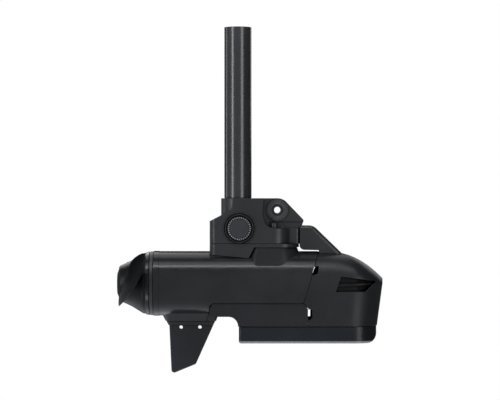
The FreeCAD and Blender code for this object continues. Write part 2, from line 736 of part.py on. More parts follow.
def lower_cover():
    region = prism("belly_region", lambda sk: belly_outline(sk, 0), S.body_r * 3)
    inside = Piece("belly_inside", keep=False)
    tube = inside.sketch("YZ", S.belly_rear_x - 30)
    circle(tube, 0, S.motor_z, S.belly_r + S.gap)
    inside.pad(tube, S.cover_seam_x - S.belly_rear_x + 60)
    tray = inside.sketch("XZ")
    rectangle(tray, 0.3 + S.wall, S.belly_floor + S.wall, S.cover_seam_x + 20, S.belly_seam_z - 10)
    inside.pad(tray, (S.belly_half - S.wall) * 2, both=True)
    lower_cover_holes(inside)
    both = DOC.addObject("Part::Common", "belly_common")
    both.Base = belly_form()
    both.Tool = region.body
    cover = DOC.addObject("Part::Cut", "lower_cover")
    cover.Base = both
    cover.Tool = inside.body
    cover.Label = "lower_cover"
    PARTS.append(cover)


def pod_screw_places():
    return [(14, 24), (88, 24), (106, 24), (160, 15)]


def lower_cover_holes(inside):
    """Screw shanks of the pod, and the window that opens the see-through slot."""
    shanks = inside.sketch("XY", S.belly_floor - 2)
    for x, y in pod_screw_places()[:2]:
        for side in (1, -1):
            circle(shanks, x, y * side, 2.05)
    inside.pad(shanks, 12)


# ---------------------------------------------------------------- nose, guard, pod

def hood_height(x):
    """Height of the nose over the motor axis: level, then a curve that steepens down to the tip."""
    along = max(0.0, (x - S.hood_start.value) / (S.hood_end.value - S.hood_start.value))
    return S.nose_height.value * (1 - along ** S.hood_power.value)


def spline(points):
    curve = Part.BSplineCurve()
    curve.interpolate(points)
    return curve.toShape()


def nose_upper(inset, rear):
    """The nose above the motor axis: half-ellipse sections lofted forward to the tip."""
    axis_z = S.motor_z.value
    centre = S.nose_tip.value - S.body_r.value
    radius = S.body_r.value - inset
    steps = round((centre - rear) / 7)
    stations = [rear + (centre - rear) * i / steps for i in range(steps)]
    stations += [centre + radius * math.sin(math.radians(turn)) for turn in range(0, 85, 9)]
    stations.append(centre + radius * math.sin(math.radians(85)))
    sections = []
    for x in stations:
        ahead = max(0.0, x - centre)
        half = math.sqrt(radius ** 2 - ahead ** 2)
        height = max(hood_height(x) - inset, 1.2)
        turns = [math.pi * i / 8 for i in range(9)]
        arch = [FreeCAD.Vector(x, half * math.cos(t), axis_z + height * math.sin(t)) for t in turns]
        sections.append(Part.Wire([spline(arch), Part.makeLine(arch[-1], arch[0])]))
    return Part.makeLoft(sections, True, False)


def nose_lower(waist, inset, rear):
    """The nose below the motor axis: the waist drawn in, in straight lines, to the flat chin."""
    tall = S.motor_z.value - S.belly_floor.value
    drawn_x = (S.chin_tip.value - rear) / (S.nose_tip.value - rear)
    drawn_y = (S.chin_half.value - inset) / (S.body_r.value - inset)
    draw_in = FreeCAD.Matrix()
    draw_in.move(FreeCAD.Vector(-rear, 0, 0))
    draw_in.scale(FreeCAD.Vector(drawn_x, drawn_y, 1))
    draw_in.move(FreeCAD.Vector(rear, 0, -tall))
    sole = waist.transformGeometry(draw_in)
    return Part.makeLoft([waist, sole], True, True)


def fair_section(x, inset):
    """Section that trims the rear flanks to the round housing, easing out ahead of it."""
    axis_z, knee_z, floor = S.motor_z.value, S.belly_seam_z.value, S.belly_floor.value
    half = S.body_r.value - inset
    chin = S.chin_half.value - inset
    ease = min(1.0, max(0.0, (x - 98) / 40))
    knee_y = math.sqrt(half ** 2 - (axis_z - knee_z) ** 2)

    def side_y(z):
        depth = axis_z - z
        lean = half - (half - chin) * depth / (axis_z - floor) + 1.5
        if z >= knee_z:
            round_y = math.sqrt(half ** 2 - depth ** 2)
        else:
            round_y = knee_y + (chin - knee_y) * (knee_z - z) / (knee_z - floor)
        return round_y + 0.05 + ease * (lean - round_y)

    upper_rows = [axis_z + (knee_z - axis_z) * i / 4 for i in range(5)]
    upper = [FreeCAD.Vector(x, side_y(z), z) for z in upper_rows]
    lower = [FreeCAD.Vector(x, side_y(z), z) for z in (knee_z, (knee_z + floor) / 2, floor)]
    other_upper = [FreeCAD.Vector(p.x, -p.y, p.z) for p in upper]
    other_lower = [FreeCAD.Vector(p.x, -p.y, p.z) for p in lower]
    return Part.Wire([
        spline(upper), spline(lower), Part.makeLine(lower[-1], other_lower[-1]),
        spline(other_lower[::-1]),
        spline(other_upper[::-1]), Part.makeLine(other_upper[0], upper[0])])


def fair_stations(rear):
    """Stations of the rear fairing, about ten millimetres apart."""
    start = rear - 3
    steps = round((146 - start) / 10)
    return [start + (146 - start) * i / steps for i in range(steps + 1)]


def nose_form(inset, rear):
    """Solid nose whose skin lies inset millimetres inside the outer skin."""
    axis_z, floor = S.motor_z.value, S.belly_floor.value
    upper = nose_upper(inset, rear)
    waist = next(
        f for f in upper.Faces if abs(f.CenterOfMass.z - axis_z) < 1e-4 and f.BoundBox.ZLength < 1e-4)
    lower = nose_lower(waist.OuterWire, inset, rear)
    fair = Part.makeLoft([fair_section(x, inset) for x in fair_stations(rear)], True, False)
    block = Part.makeBox(138 - rear + 2, 140, axis_z - floor, FreeCAD.Vector(rear - 2, -70, floor))
    lower = lower.cut(block.cut(fair))
    return upper.fuse(lower).removeSplitter()


def side_prism(corners, width):
    """Solid of a side view outline, width wide about the centre plane."""
    points = [FreeCAD.Vector(x, -width / 2, z) for x, z in corners]
    wire = Part.makePolygon(points + points[:1])
    return Part.Face(wire).extrude(PORT * width)


def nose_cone():
    wall = S.wall.value
    skin = nose_form(0, 80)
    hollow = nose_form(wall, 78)
    shell = skin.cut(hollow)
    floor = S.belly_floor.value
    seam_x, seam_top = S.seam_top_x.value, S.seam_top_z.value
    low_x, low_z = S.seam_low_x.value, S.seam_low_z.value
    cover_x = S.cover_seam_x.value
    rake = (seam_x - low_x) / (seam_top - low_z)
    behind = side_prism([
        (60, seam_top + 20), (seam_x + rake * 20, seam_top + 20), (low_x, low_z), (cover_x, low_z - 8),
        (cover_x, floor - 10), (60, floor - 10)], 200)
    upper_slot = side_prism([
        (103, -346), (110, -343), (111.6, -337), (111.6, -333), (106.5, -333)], 200)
    lower_slot = side_prism([
        (95, -394), (100, -392.4), (103, -393.4), (103, -404.5), (99.5, -408), (95, -406.5)], 200)
    gill = side_prism(gill_corners(0), 200)
    cable_hole = Part.makeCylinder(5.6, 20, FreeCAD.Vector(S.sonar_drop_x.value, 0, -325))
    shape = shell
    for tool in (behind, upper_slot, lower_slot, gill, cable_hole):
        shape = shape.cut(tool)
    for x, y in pod_screw_places()[2:]:
        for side in (1, -1):
            shape = shape.fuse(screw_post(x, y * side, skin))
    add_shape("nose_cone", shape.removeSplitter())


def screw_post(x, y, skin):
    """Boss inside the nose that takes a pod screw, tied to the wall."""
    floor = S.belly_floor.value
    post = Part.makeCylinder(4.2, 24, FreeCAD.Vector(x, y, floor))
    reach = 24
    web = Part.makeBox(3, reach, 24, FreeCAD.Vector(x - 1.5, y if y > 0 else y - reach, floor))
    hole = Part.makeCylinder(2.05, 16, FreeCAD.Vector(x, y, floor - 1))
    return post.fuse(web).common(skin).cut(hole)


def gill_corners(grow):
    """Side view corners of the vent in the nose, grown outwards by a margin."""
    return [
        (142.4 - grow, -347.2 + grow), (135.4 - grow * 1.5, -368.2 - grow),
        (176 + grow * 0.5, -368.2 - grow), (191.4 + grow, -354.2), (190 + grow, -353.4 + grow)]


def add_shape(label, shape):
    """A free-form sub-part: its shape is set directly, then its placement."""
    feature = DOC.addObject("Part::Feature", label)
    feature.Label = label
    feature.Shape = shape
    feature.Placement = FreeCAD.Placement(ORIGIN, FreeCAD.Rotation())
    PARTS.append(feature)
    return feature


def plan_prism(corners, side):
    """Upright prism over a plan view outline, on one side of the nose."""
    low = S.belly_floor.value - 10
    points = [FreeCAD.Vector(x, y * side, low) for x, y in corners]
    return Part.Face(Part.makePolygon(points + points[:1])).extrude(UP * 110)


def vent_insert(name, side):
    """Louvred tray behind a nose vent, with one long ridge across its mouth."""
    floor_line = [(125, 36), (165, 33), (185, 22), (196, 9)]
    rim = [(200, 9), (200, 60), (125, 60)]
    behind = plan_prism([(x, y - 2.5) for x, y in floor_line] + rim, side)
    tray = nose_form(S.wall.value + 0.05, 100).common(side_prism(gill_corners(3), 200)).common(behind)
    mouth = side_prism(gill_corners(-0.2), 200).common(plan_prism(floor_line + rim, side))
    ridge_band = side_prism([(135.5, -361.5), (137.5, -357), (186, -356.6), (184, -358.5)], 200)
    ridge = nose_form(1.6, 100).common(ridge_band).common(behind)
    ridge = ridge.common(side_prism(gill_corners(-0.15), 200))
    add_shape(name, tray.cut(mouth).fuse(ridge).removeSplitter())


def cable_guard():
    piece = Piece("cable_guard_form", keep=False)
    side_view = piece.sketch("XZ")
    outline(side_view, [
        (S.core_front + 0.1, S.neck_z - 0.2), (S.core_front + 3.3, S.neck_z - 0.2),
        (S.core_front + 3.3, S.neck_z + 1.6), (S.core_front + 18.9, S.neck_z + 1.6, 14),
        (144.5, -315), (146, -330), (113.6, -330), (113.6, -311.4), (S.core_front + 0.1, -310.8, 6)])
    piece.pad(side_view, S.guard_half * 2, both=True)
    piece.soften("Fillet", 6, lambda e: abs(abs(middle(e).y) - 15) < 1e-3 and (
        middle(e).z > -277.6 or (middle(e).x > 106 and middle(e).z > -315)))
    inside = piece.sketch("XZ")
    outline(inside, [
        (S.core_front - 1, S.neck_z - 1.5), (S.core_front + 17.5, S.neck_z - 2.2), (138, -313),
        (138, -332), (116.2, -332), (116.2, -308), (S.core_front - 1, -307, 5)])
    piece.cut(inside, (S.guard_half - 3) * 2, both=True)
    form = add_helper("nose_clearance", nose_form(-0.12, 100))
    guard = DOC.addObject("Part::Cut", "cable_guard")
    guard.Base = piece.body
    guard.Tool = form
    guard.Label = "cable_guard"
    PARTS.append(guard)


def add_helper(label, shape):
    helper = DOC.addObject("Part::Feature", label)
    helper.Shape = shape
    return helper


def pod_plan(sketch, inset, nose_inset=None):
    half = S.pod_half - inset
    tip = S.pod_tip - (inset if nose_inset is None else nose_inset)
    outline(sketch, [
        (S.pod_rear + inset, -half, 4), (tip, -half, half - 0.05),
        (tip, half, half - 0.05), (S.pod_rear + inset, half, 4)])


def transducer_housing():
    """Open tray with bosses for its screws and a shadow gap round its rim."""
    piece = Piece("transducer_housing")
    top = S.belly_floor - 0.1
    plan = piece.sketch("XY", top)
    pod_plan(plan, 0)
    piece.pad(plan, top - S.pod_floor, back=True)
    piece.soften("Fillet", 3.2, lambda e: abs(middle(e).z - S.pod_floor.value) < 1e-3)
    toe = piece.sketch("XZ")
    outline(toe, [
        (S.pod_tip - S.toe_r, S.pod_floor - 2), (S.pod_tip - S.toe_r, S.pod_floor),
        (S.pod_tip, S.pod_floor, S.toe_r - 0.01), (S.pod_tip, S.pod_floor + S.toe_r),
        (S.pod_tip + 3, S.pod_floor + S.toe_r), (S.pod_tip + 3, S.pod_floor - 2)])
    piece.cut(toe, both=True)
    rebate = piece.sketch("XY", top)
    pod_plan(rebate, -1)
    pod_plan(rebate, 1.2)
    piece.cut(rebate, S.seam_gap + 0.2)
    hollow = piece.sketch("XY", top)
    pod_plan(hollow, S.pod_wall)
    piece.cut(hollow, top - S.pod_floor - S.toe_r)
    well = piece.sketch("XY", top)
    pod_plan(well, S.pod_wall, 12)
    piece.cut(well, top - S.pod_floor - S.pod_wall - 1)
    bosses = piece.sketch("XY", top)
    for x, y in pod_screw_places():
        for side in (1, -1):
            circle(bosses, x, y * side, 4.5)
    piece.pad(bosses, S.belly_floor - S.pod_floor - 2, back=True)
    shanks = piece.sketch("XY", S.belly_floor)
    heads = piece.sketch("XY", S.pod_floor)
    for x, y in pod_screw_places():
        for side in (1, -1):
            circle(shanks, x, y * side, 2.05)
            circle(heads, x, y * side, 3.8)
    piece.cut(shanks, 40)
    piece.cut(heads, 5, back=True)


def pod_screws():
    piece = Piece("pod_screws")
    for x, y in pod_screw_places():
        for side in (1, -1):
            up_screw(piece, x, y * side)


def up_screw(piece, x, y):
    """A pod screw, driven upwards from its counterbore."""
    seat = S.pod_floor + 5
    shank = piece.sketch("XY", seat)
    circle(shank, x, y, 2)
    piece.pad(shank, 26)
    head = piece.sketch("XY", seat)
    circle(head, x, y, 3.6)
    piece.pad(head, 3.4, back=True)
    socket = piece.sketch("XY", seat - 3.4)
    outline(socket, hexagon(x, y, 1.7))
    piece.cut(socket, 2, back=True)


def transducer_lid():
    """Sealing plate sunk in the mouth of the pod, with a hole for the sonar cable."""
    piece = Piece("transducer_lid")
    plan = piece.sketch("XY", S.belly_floor - 0.1)
    pod_plan(plan, S.pod_wall + 0.1)
    for x, y in pod_screw_places():
        for side in (1, -1):
            circle(plan, x, y * side, 4.6)
    circle(plan, S.sonar_drop_x, 0, 3.6)
    piece.pad(plan, 2.5, back=True)


def transducer_elements():
    strips = Piece("sidescan_elements")
    for side in (1, -1):
        bar = strips.sketch("XY", S.pod_floor + S.pod_wall + 2)
        low, high = (20, 23) if side > 0 else (-23, -20)
        rectangle(bar, 26, low, 78, high)
        strips.pad(bar, 9)
    chirp = Piece("sonar_disc")
    disc = chirp.sketch("XY", S.pod_floor + S.pod_wall + 2)
    circle(disc, 134, 0, 14)
    chirp.pad(disc, 8)
    down = Piece("downscan_element")
    bar = down.sketch("XY", S.pod_floor + S.pod_wall + 2)
    rectangle(bar, 26, -2.5, 78, 2.5)
    down.pad(bar, 9)


def skeg_fin():
    piece = Piece("skeg_fin")
    fin = piece.sketch("XZ")
    outline(fin, [
        (S.skeg_rear + 5.2, S.skeg_root_z + 1), (S.skeg_rear + 8.4, S.fin_tip_z + 0.2, 4),
        (S.skeg_front - 28.4, S.fin_tip_z + 14, 4), (S.skeg_front - 3.5, S.skeg_root_z + 1)])
    piece.pad(fin, S.fin_t, both=True)
    piece.soften("Chamfer", 1.8, lambda e: abs(abs(middle(e).y) - 3.5) < 1e-3 and middle(e).z < -420)
    foot = piece.sketch("XY", S.skeg_root_z)
    shoulder = piece.sketch("XY", S.skeg_z - S.seam_gap)
    for plan, inset, half in ((foot, 4.2, 5.2), (shoulder, 1.2, 7.2)):
        outline(plan, [
            (S.skeg_rear + inset, -half, half - 0.1), (S.skeg_front - inset, -half, half - 0.1),
            (S.skeg_front - inset, half, half - 0.1), (S.skeg_rear + inset, half, half - 0.1)])
    piece.loft(foot, shoulder)
    tongue = piece.sketch("XZ")
    rectangle(tongue, S.skeg_rear + 13.2, S.skeg_z - 2, S.belly_rear_x - 14.2, S.skeg_z + 6.6)
    piece.pad(tongue, 5, both=True)
    holes = piece.sketch("XZ")
    for sign in (-1, 1):
        circle(holes, S.fin_hole_x + S.fin_hole_gap / 2 * sign, S.fin_hole_z, S.fin_hole_d / 2)
    for x, z in skeg_screw_places():
        circle(holes, x, z, 1.5)
    piece.cut(holes, both=True)


def skeg_screws():
    """Two screws from the port side through the fairing into the fin's tongue."""
    piece = Piece("skeg_screws")
    for x, z in skeg_screw_places():
        shank = piece.sketch("XZ", -S.skeg_head_y)
        circle(shank, x, z, 1.5)
        piece.pad(shank, S.skeg_head_y + 2.5)
        head = piece.sketch("XZ", -S.skeg_head_y)
        circle(head, x, z, 2.6)
        piece.pad(head, 2.4, back=True)


# ---------------------------------------------------------------- rear end

def rear_end_cap():
    piece = Piece("rear_end_cap")
    pocket_front = S.cap_rear + 13.3
    piece.revolve([
        (S.ring_rear, 11), (S.ring_rear, S.neck_r), (S.cap_rear, S.neck_r), (S.cap_rear, S.body_r + 0.4),
        (S.body_rear - 0.1, S.body_r + 0.4), (S.body_rear - 0.1, S.bore_r - 0.05),
        (S.body_rear + 3, S.bore_r - 0.05),
        (S.body_rear + 3, S.bore_r - 3), (S.body_rear + 6, S.bore_r - 3),
        (S.body_rear + 6, S.bore_r - 0.05),
        (S.body_rear + 8.6, S.bore_r - 0.05), (S.body_rear + 8.6, 18), (pocket_front, 18),
        (pocket_front, S.bearing_r), (pocket_front - S.bearing_w, S.bearing_r),
        (pocket_front - S.bearing_w, 8),
        (S.cap_rear + 3.3, 8), (S.cap_rear + 3.3, 11)])
    holes = piece.sketch("YZ", S.cap_rear)
    heads = piece.sketch("YZ", S.cap_rear)
    for y, z in cap_screw_places():
        circle(holes, y, z, 2.1)
        circle(heads, y, z, 3.3)
    piece.cut(holes, 30, back=True)
    piece.cut(heads, 4.2, back=True)


def end_cap_screws():
    piece = Piece("end_cap_screws")
    for y, z in cap_screw_places():
        head = piece.sketch("YZ", S.cap_rear + 0.2)
        circle(head, y, z, 3.1)
        piece.pad(head, 4)
        shank = piece.sketch("YZ", S.cap_rear + 4.2)
        circle(shank, y, z, 2)
        piece.pad(shank, 18)
    piece.drop()


def ring(name, rear, front, inner, outer):
    Piece(name).revolve([(rear, inner), (rear, outer), (front, outer), (front, inner)])


def bevelled_ring(name, rear, front, inner, rear_outer, front_outer):
    bevel = 0.8
    Piece(name).revolve([
        (rear, inner), (rear, rear_outer - bevel), (rear + bevel, rear_outer),
        (front - bevel, front_outer),
        (front, front_outer - bevel), (front, inner)])


def rear_rings():
    inner = S.neck_r + 0.05
    bevelled_ring("anode_ring", S.anode_rear, S.cap_rear - 0.05, inner, S.body_r - 0.5, S.body_r - 0.3)
    bevelled_ring("line_guard_ring", S.ring_rear, S.anode_rear - 0.05, inner, S.body_r - 1.4,
        S.body_r - 0.6)


def o_ring(name, x, radius, section):
    piece = Piece(name)
    sketch = piece.sketch("XZ")
    circle(sketch, x, radius, section)
    piece.turn("Revolution", sketch, "H_Axis")
    piece.drop()


def shaft_seals():
    """Two lip seals, back to back, in the mouth of the end cap."""
    piece = Piece("shaft_seals")
    for i in range(2):
        rear = S.ring_rear + 0.6 + 6.6 * i
        sketch = piece.sketch("XZ")
        outline(sketch, [
            (rear, 10.95), (rear, 8), (rear + 2, S.shaft_r + S.fit_gap),
            (rear + 3.4, S.shaft_r + S.fit_gap),
            (rear + 4.4, 8.4), (rear + 6, 8.4), (rear + 6, 10.95)])
        piece.turn("Revolution", sketch, "H_Axis")
    piece.drop()


def race(name, rear, inner, outer):
    """A bearing race: a ring with its ball groove in the face nearer the balls."""
    piece = Piece(name)
    front = rear + S.bearing_w
    piece.revolve([(rear, inner), (rear, outer), (front, outer), (front, inner)], drop=False)
    groove = piece.sketch("XZ")
    circle(groove, rear + S.bearing_w / 2, S.ball_pitch_r, S.ball_r + 0.12)
    piece.turn("Groove", groove, "H_Axis")
    piece.drop()


def balls(name, rear):
    """Balls of a bearing, one node of separate balls."""
    piece = Piece(name)
    sketch = piece.sketch("XZ")
    x = number(rear + S.bearing_w / 2)
    low = number(S.ball_pitch_r) - number(S.ball_r)
    high = number(S.ball_pitch_r) + number(S.ball_r)
    start = FreeCAD.Vector(x, low, 0)
    end = FreeCAD.Vector(x, high, 0)
    side = FreeCAD.Vector(x + number(S.ball_r), number(S.ball_pitch_r), 0)
    sketch.addGeometry(Part.Arc(start, side, end), False)
    sketch.addGeometry(Part.LineSegment(end, start), False)
    for i in range(2):
        sketch.addConstraint(Sketcher.Constraint("Block", i))
    ball = piece.feature("Revolution")
    ball.Profile = sketch
    ball.ReferenceAxis = (sketch, ["Edge2"])
    ball.Angle = 360
    piece.tip(ball)
    piece.around([ball], S.ball_count)
    piece.drop()


def bearing(prefix, rear):
    race(f"{prefix}_bearing_inner", rear, S.shaft_r, S.shaft_r + 2.6)
    race(f"{prefix}_bearing_outer", rear, S.bearing_r - 2.6, S.bearing_r)
    balls(f"{prefix}_bearing_balls", rear)


def bearing_plate():
    piece = Piece("bearing_plate")
    seat = S.plate_rear + S.bearing_w
    piece.revolve([
        (S.plate_rear, S.bearing_r), (S.plate_rear, 19), (S.plate_rear + 6, 22),
        (S.plate_rear + 6, S.bore_r - 0.05),
        (S.plate_front, S.bore_r - 0.05), (S.plate_front, 0), (S.plate_front - 1.6, 0),
        (S.plate_front - 1.6, 8), (seat, 8), (seat, S.bearing_r)], drop=False)
    vents = piece.sketch("YZ", S.plate_front)
    circle(vents, 28, 0, 4.5)
    vent = piece.cut(vents, 20)
    piece.around([vent], 6)
    piece.drop()


# ---------------------------------------------------------------- motor and electronics

def stator_core():
    piece = Piece("stator_core")
    rim = piece.sketch("YZ", S.stator_rear)
    circle(rim, 0, 0, S.bore_r - 0.05)
    circle(rim, 0, 0, S.slot_r)
    length = S.stator_front - S.stator_rear
    piece.pad(rim, length)
    tooth = piece.sketch("YZ", S.stator_rear)
    outline(tooth, [
        (S.slot_r + 1, -S.tooth_w / 2), (S.slot_r + 1, S.tooth_w / 2), (S.tooth_r + 1.6, S.tooth_w / 2),
        (S.tooth_r + 0.9, S.tooth_w / 2 + 1.6), (S.tooth_r, S.tooth_w / 2 + 1.6),
        (S.tooth_r, -S.tooth_w / 2 - 1.6),
        (S.tooth_r + 0.9, -S.tooth_w / 2 - 1.6), (S.tooth_r + 1.6, -S.tooth_w / 2)])
    one = piece.pad(tooth, length)
    piece.around([one], S.tooth_count)
    piece.drop()


def stator_windings():
    """One coil round each tooth, as separate solids."""
    piece = Piece("stator_windings")
    coil = piece.sketch("XY", S.tooth_r + 2.7)
    wide = S.tooth_w / 2 + 2.3
    outline(coil, [
        (S.stator_rear - S.coil_over, -wide, 4), (S.stator_front + S.coil_over, -wide, 4),
        (S.stator_front + S.coil_over, wide, 4), (S.stator_rear - S.coil_over, wide, 4)])
    rectangle(coil, S.stator_rear - 0.1, -S.tooth_w / 2 - 0.1, S.stator_front + 0.1, S.tooth_w / 2 + 0.1)
    one = piece.pad(coil, S.slot_r - S.tooth_r - 3.5)
    piece.around([one], S.tooth_count)
    piece.drop()


def motor_shaft():
    piece = Piece("motor_shaft")
    piece.revolve([
        (-163, 0), (-163, S.thread_r), (-146, S.thread_r), (-146, S.shaft_r),
        (S.plate_rear + S.bearing_w + 0.6, S.shaft_r),
        (S.plate_rear + S.bearing_w + 0.6, 0)], drop=False)
    pin = piece.sketch("XY")
    circle(pin, S.pin_x, 0, S.pin_d / 2)
    piece.cut(pin, 40, both=True)
    piece.drop()


def rotor():
    ring("rotor_core", S.stator_rear, S.stator_front, S.shaft_r, S.rotor_r)
    piece = Piece("rotor_magnets")
    arc = piece.sketch("YZ", S.stator_rear + 1)
    magnet_outline(arc)
    one = piece.pad(arc, S.stator_front - S.stator_rear - 2)
    piece.around([one], S.magnet_count)
    piece.drop()


def magnet_outline(sketch):
    """One curved magnet: an arc segment of the rotor's skin."""
    half_turn = math.radians(15.5)

    def spot(radius, turn):
        return FreeCAD.Vector(radius * math.cos(turn), radius * math.sin(turn), 0)

    inner, outer = S.rotor_r.value, S.magnet_r.value
    sketch.addGeometry(Part.Arc(spot(inner, -half_turn), spot(inner, 0), spot(inner, half_turn)), False)
    sketch.addGeometry(Part.LineSegment(spot(inner, half_turn), spot(outer, half_turn)), False)
    sketch.addGeometry(Part.Arc(spot(outer, half_turn), spot(outer, 0), spot(outer, -half_turn)), False)
    sketch.addGeometry(Part.LineSegment(spot(outer, -half_turn), spot(inner, -half_turn)), False)
    for i in range(4):
        sketch.addConstraint(Sketcher.Constraint("Block", i))


def front_bulkhead():
    piece = Piece("front_bulkhead")
    rear, front = S.bulkhead_rear, S.bulkhead_front
    wide = S.bore_r - 0.05
    piece.revolve([
        (rear, 0), (rear, wide), (rear + 4.5, wide), (rear + 4.5, wide - 3), (rear + 7.5, wide - 3),
        (rear + 7.5, wide), (front, wide), (front, wide - 6), (front - 5, wide - 8), (front - 5, 0)])
    o_ring("bulkhead_oring", rear + 6, S.bore_r - 1.55, 1.45)
    ring("bulkhead_retaining_ring", front + 0.05, front + 1.6, S.bore_r - 5, S.bore_r - 0.05)


def heat_sink():
    piece = Piece("heat_sink")
    chord = piece.sketch("YZ", -4)
    half = math.sqrt(S.bore_r.value ** 2 - 7 ** 2) - 0.1
    left = FreeCAD.Vector(-half, -7, 0)
    right = FreeCAD.Vector(half, -7, 0)
    low = FreeCAD.Vector(0, -math.hypot(half, 7), 0)
    chord.addGeometry(Part.LineSegment(left, right), False)
    chord.addGeometry(Part.Arc(right, low, left), False)
    for i in range(2):
        chord.addConstraint(Sketcher.Constraint("Block", i))
    piece.pad(chord, 60)
    slots = piece.sketch("YZ", -4)
    for i in range(-2, 3):
        rectangle(slots, i * 9 - 2, -20, i * 9 + 2, -12)
    piece.cut(slots, 60, back=True)
    piece.drop()


def electronics():
    board = Piece("drive_board")
    plate = board.sketch("XY", S.motor_z + 14)
    rectangle(plate, S.harness_x - 2.5, -27, 58, 27)
    board.pad(plate, 1.6)
    chips = Piece("power_transistors")
    for i in range(3):
        for side in (1, -1):
            chip = chips.sketch("XY", S.motor_z - 7)
            rectangle(chip, 6 + 17 * i, 15 * side - 5, 20 + 17 * i, 15 * side + 5)
            chips.pad(chip, 4.6)
    cans = Piece("bus_capacitors")
    for i in range(3):
        can = cans.sketch("XY", S.motor_z + 15.6)
        circle(can, 18 + 15 * i, 0, 6.2)
        cans.pad(can, 15)
    posts = Piece("board_standoffs")
    for x in (2, 52):
        for side in (1, -1):
            post = posts.sketch("XY", S.motor_z - 7)
            circle(post, x, 24 * side, 2.2)
            posts.pad(post, 21)
    plug = Piece("board_connector")
    block = plug.sketch("XY", S.motor_z + 15.6)
    rectangle(block, S.harness_x - 2.3, -6, S.harness_x + 8, 6)
    plug.pad(block, 8)


# ---------------------------------------------------------------- cables inside

def power_harness():
    piece = Piece("power_harness")
    run = piece.sketch("XY", -25)
    circle(run, S.harness_x, 0, S.harness_d / 2)
    piece.pad(run, S.motor_z * -1 - 23.6 - 25, back=True)


def sonar_cable():
    """Down inside the shaft, forward through the mount, down again into the pod."""
    top, foot = -25, S.belly_floor.value - 2.8
    run_z, drop_x = S.sonar_run_z.value, S.sonar_drop_x.value
    x, bend, drop = S.sonar_x.value, S.sonar_bend.value, S.sonar_drop_bend.value
    slant = math.sqrt(0.5)
    points = [
        FreeCAD.Vector(x, 0, top), FreeCAD.Vector(x, 0, run_z + bend),
        FreeCAD.Vector(x + bend * (1 - slant), 0, run_z + bend * (1 - slant)),
        FreeCAD.Vector(x + bend, 0, run_z),
        FreeCAD.Vector(drop_x - drop, 0, run_z),
        FreeCAD.Vector(drop_x - drop * (1 - slant), 0, run_z - drop * (1 - slant)),
        FreeCAD.Vector(drop_x, 0, run_z - drop), FreeCAD.Vector(drop_x, 0, foot)]
    path = Part.Wire([
        Part.makeLine(points[0], points[1]), Part.Arc(*points[1:4]).toShape(),
        Part.makeLine(points[3], points[4]), Part.Arc(*points[4:7]).toShape(),
        Part.makeLine(points[6], points[7])])
    section = Part.Wire(Part.makeCircle(S.sonar_d.value / 2, points[0], FreeCAD.Vector(0, 0, -1)))
    add_shape("sonar_cable", path.makePipeShell([section], True, False))


def cable_fittings():
    plug = Piece("harness_connector")
    body = plug.sketch("XY", -8)
    circle(body, 0, 0, S.shaft_bore / 2 - 0.1)
    for x, y in ((5, 5), (5, -5), (-5, 5), (-5, -5)):
        circle(body, x, y, 1.4)
    plug.pad(body, 17, back=True)
    seal = Piece("shaft_foot_seal")
    disc = seal.sketch("XY", -S.shaft_length + 11.5)
    circle(disc, 0, 0, S.shaft_bore / 2 - 0.05)
    circle(disc, S.harness_x, 0, S.harness_d / 2 + 0.05)
    seal.pad(disc, 4)
    way = seal.sketch("YZ")
    rectangle(way, -S.cable_way / 2, -S.shaft_length - 1, S.cable_way / 2, -S.shaft_length + 16)
    seal.cut(way, S.shaft_d, back=True)
    gland = Piece("cable_gland")
    nut = gland.sketch("XY", S.seam_z)
    circle(nut, S.harness_x, 0, 7)
    circle(nut, S.harness_x, 0, S.harness_d / 2 + 0.05)
    gland.pad(nut, 9.9, back=True)
    stem = gland.sketch("XY", S.seam_z - 9.9)
    circle(stem, S.harness_x, 0, 5)
    circle(stem, S.harness_x, 0, S.harness_d / 2 + 0.05)
    gland.pad(stem, 8, back=True)
    grommet = Piece("nose_grommet")
    collar = grommet.sketch("XY", S.seam_top_z - 4.2)
    circle(collar, S.sonar_drop_x, 0, 5.5)
    circle(collar, S.sonar_drop_x, 0, S.sonar_d / 2 + 0.05)
    grommet.pad(collar, 3.4)


# ---------------------------------------------------------------- propeller

def blade_section(radius, centre_x, chord, lean, sweep, thickness, camber):
    """Closed airfoil wire of the starboard blade: bowed forwards by its camber, leaning off upright."""
    turn = math.radians(lean)
    along = FreeCAD.Vector(math.sin(turn), 0, math.cos(turn))
    across = FreeCAD.Vector(math.cos(turn), 0, -math.sin(turn))
    centre = FreeCAD.Vector(centre_x, -radius, S.motor_z.value + sweep)
    count = 8
    front, back = [], []
    for i in range(count + 1):
        share = i / count
        mean = centre + along * (chord * (share - 0.5)) + across * (camber * 4 * share * (1 - share))
        half = thickness / 2 * math.sin(math.pi * share) ** 0.8 + 0.4
        front.append(mean + across * half)
        back.append(mean - across * half)
    return Part.Wire([
        spline(front), Part.makeLine(front[-1], back[-1]), spline(back[::-1]),
        Part.makeLine(back[0], front[0])])


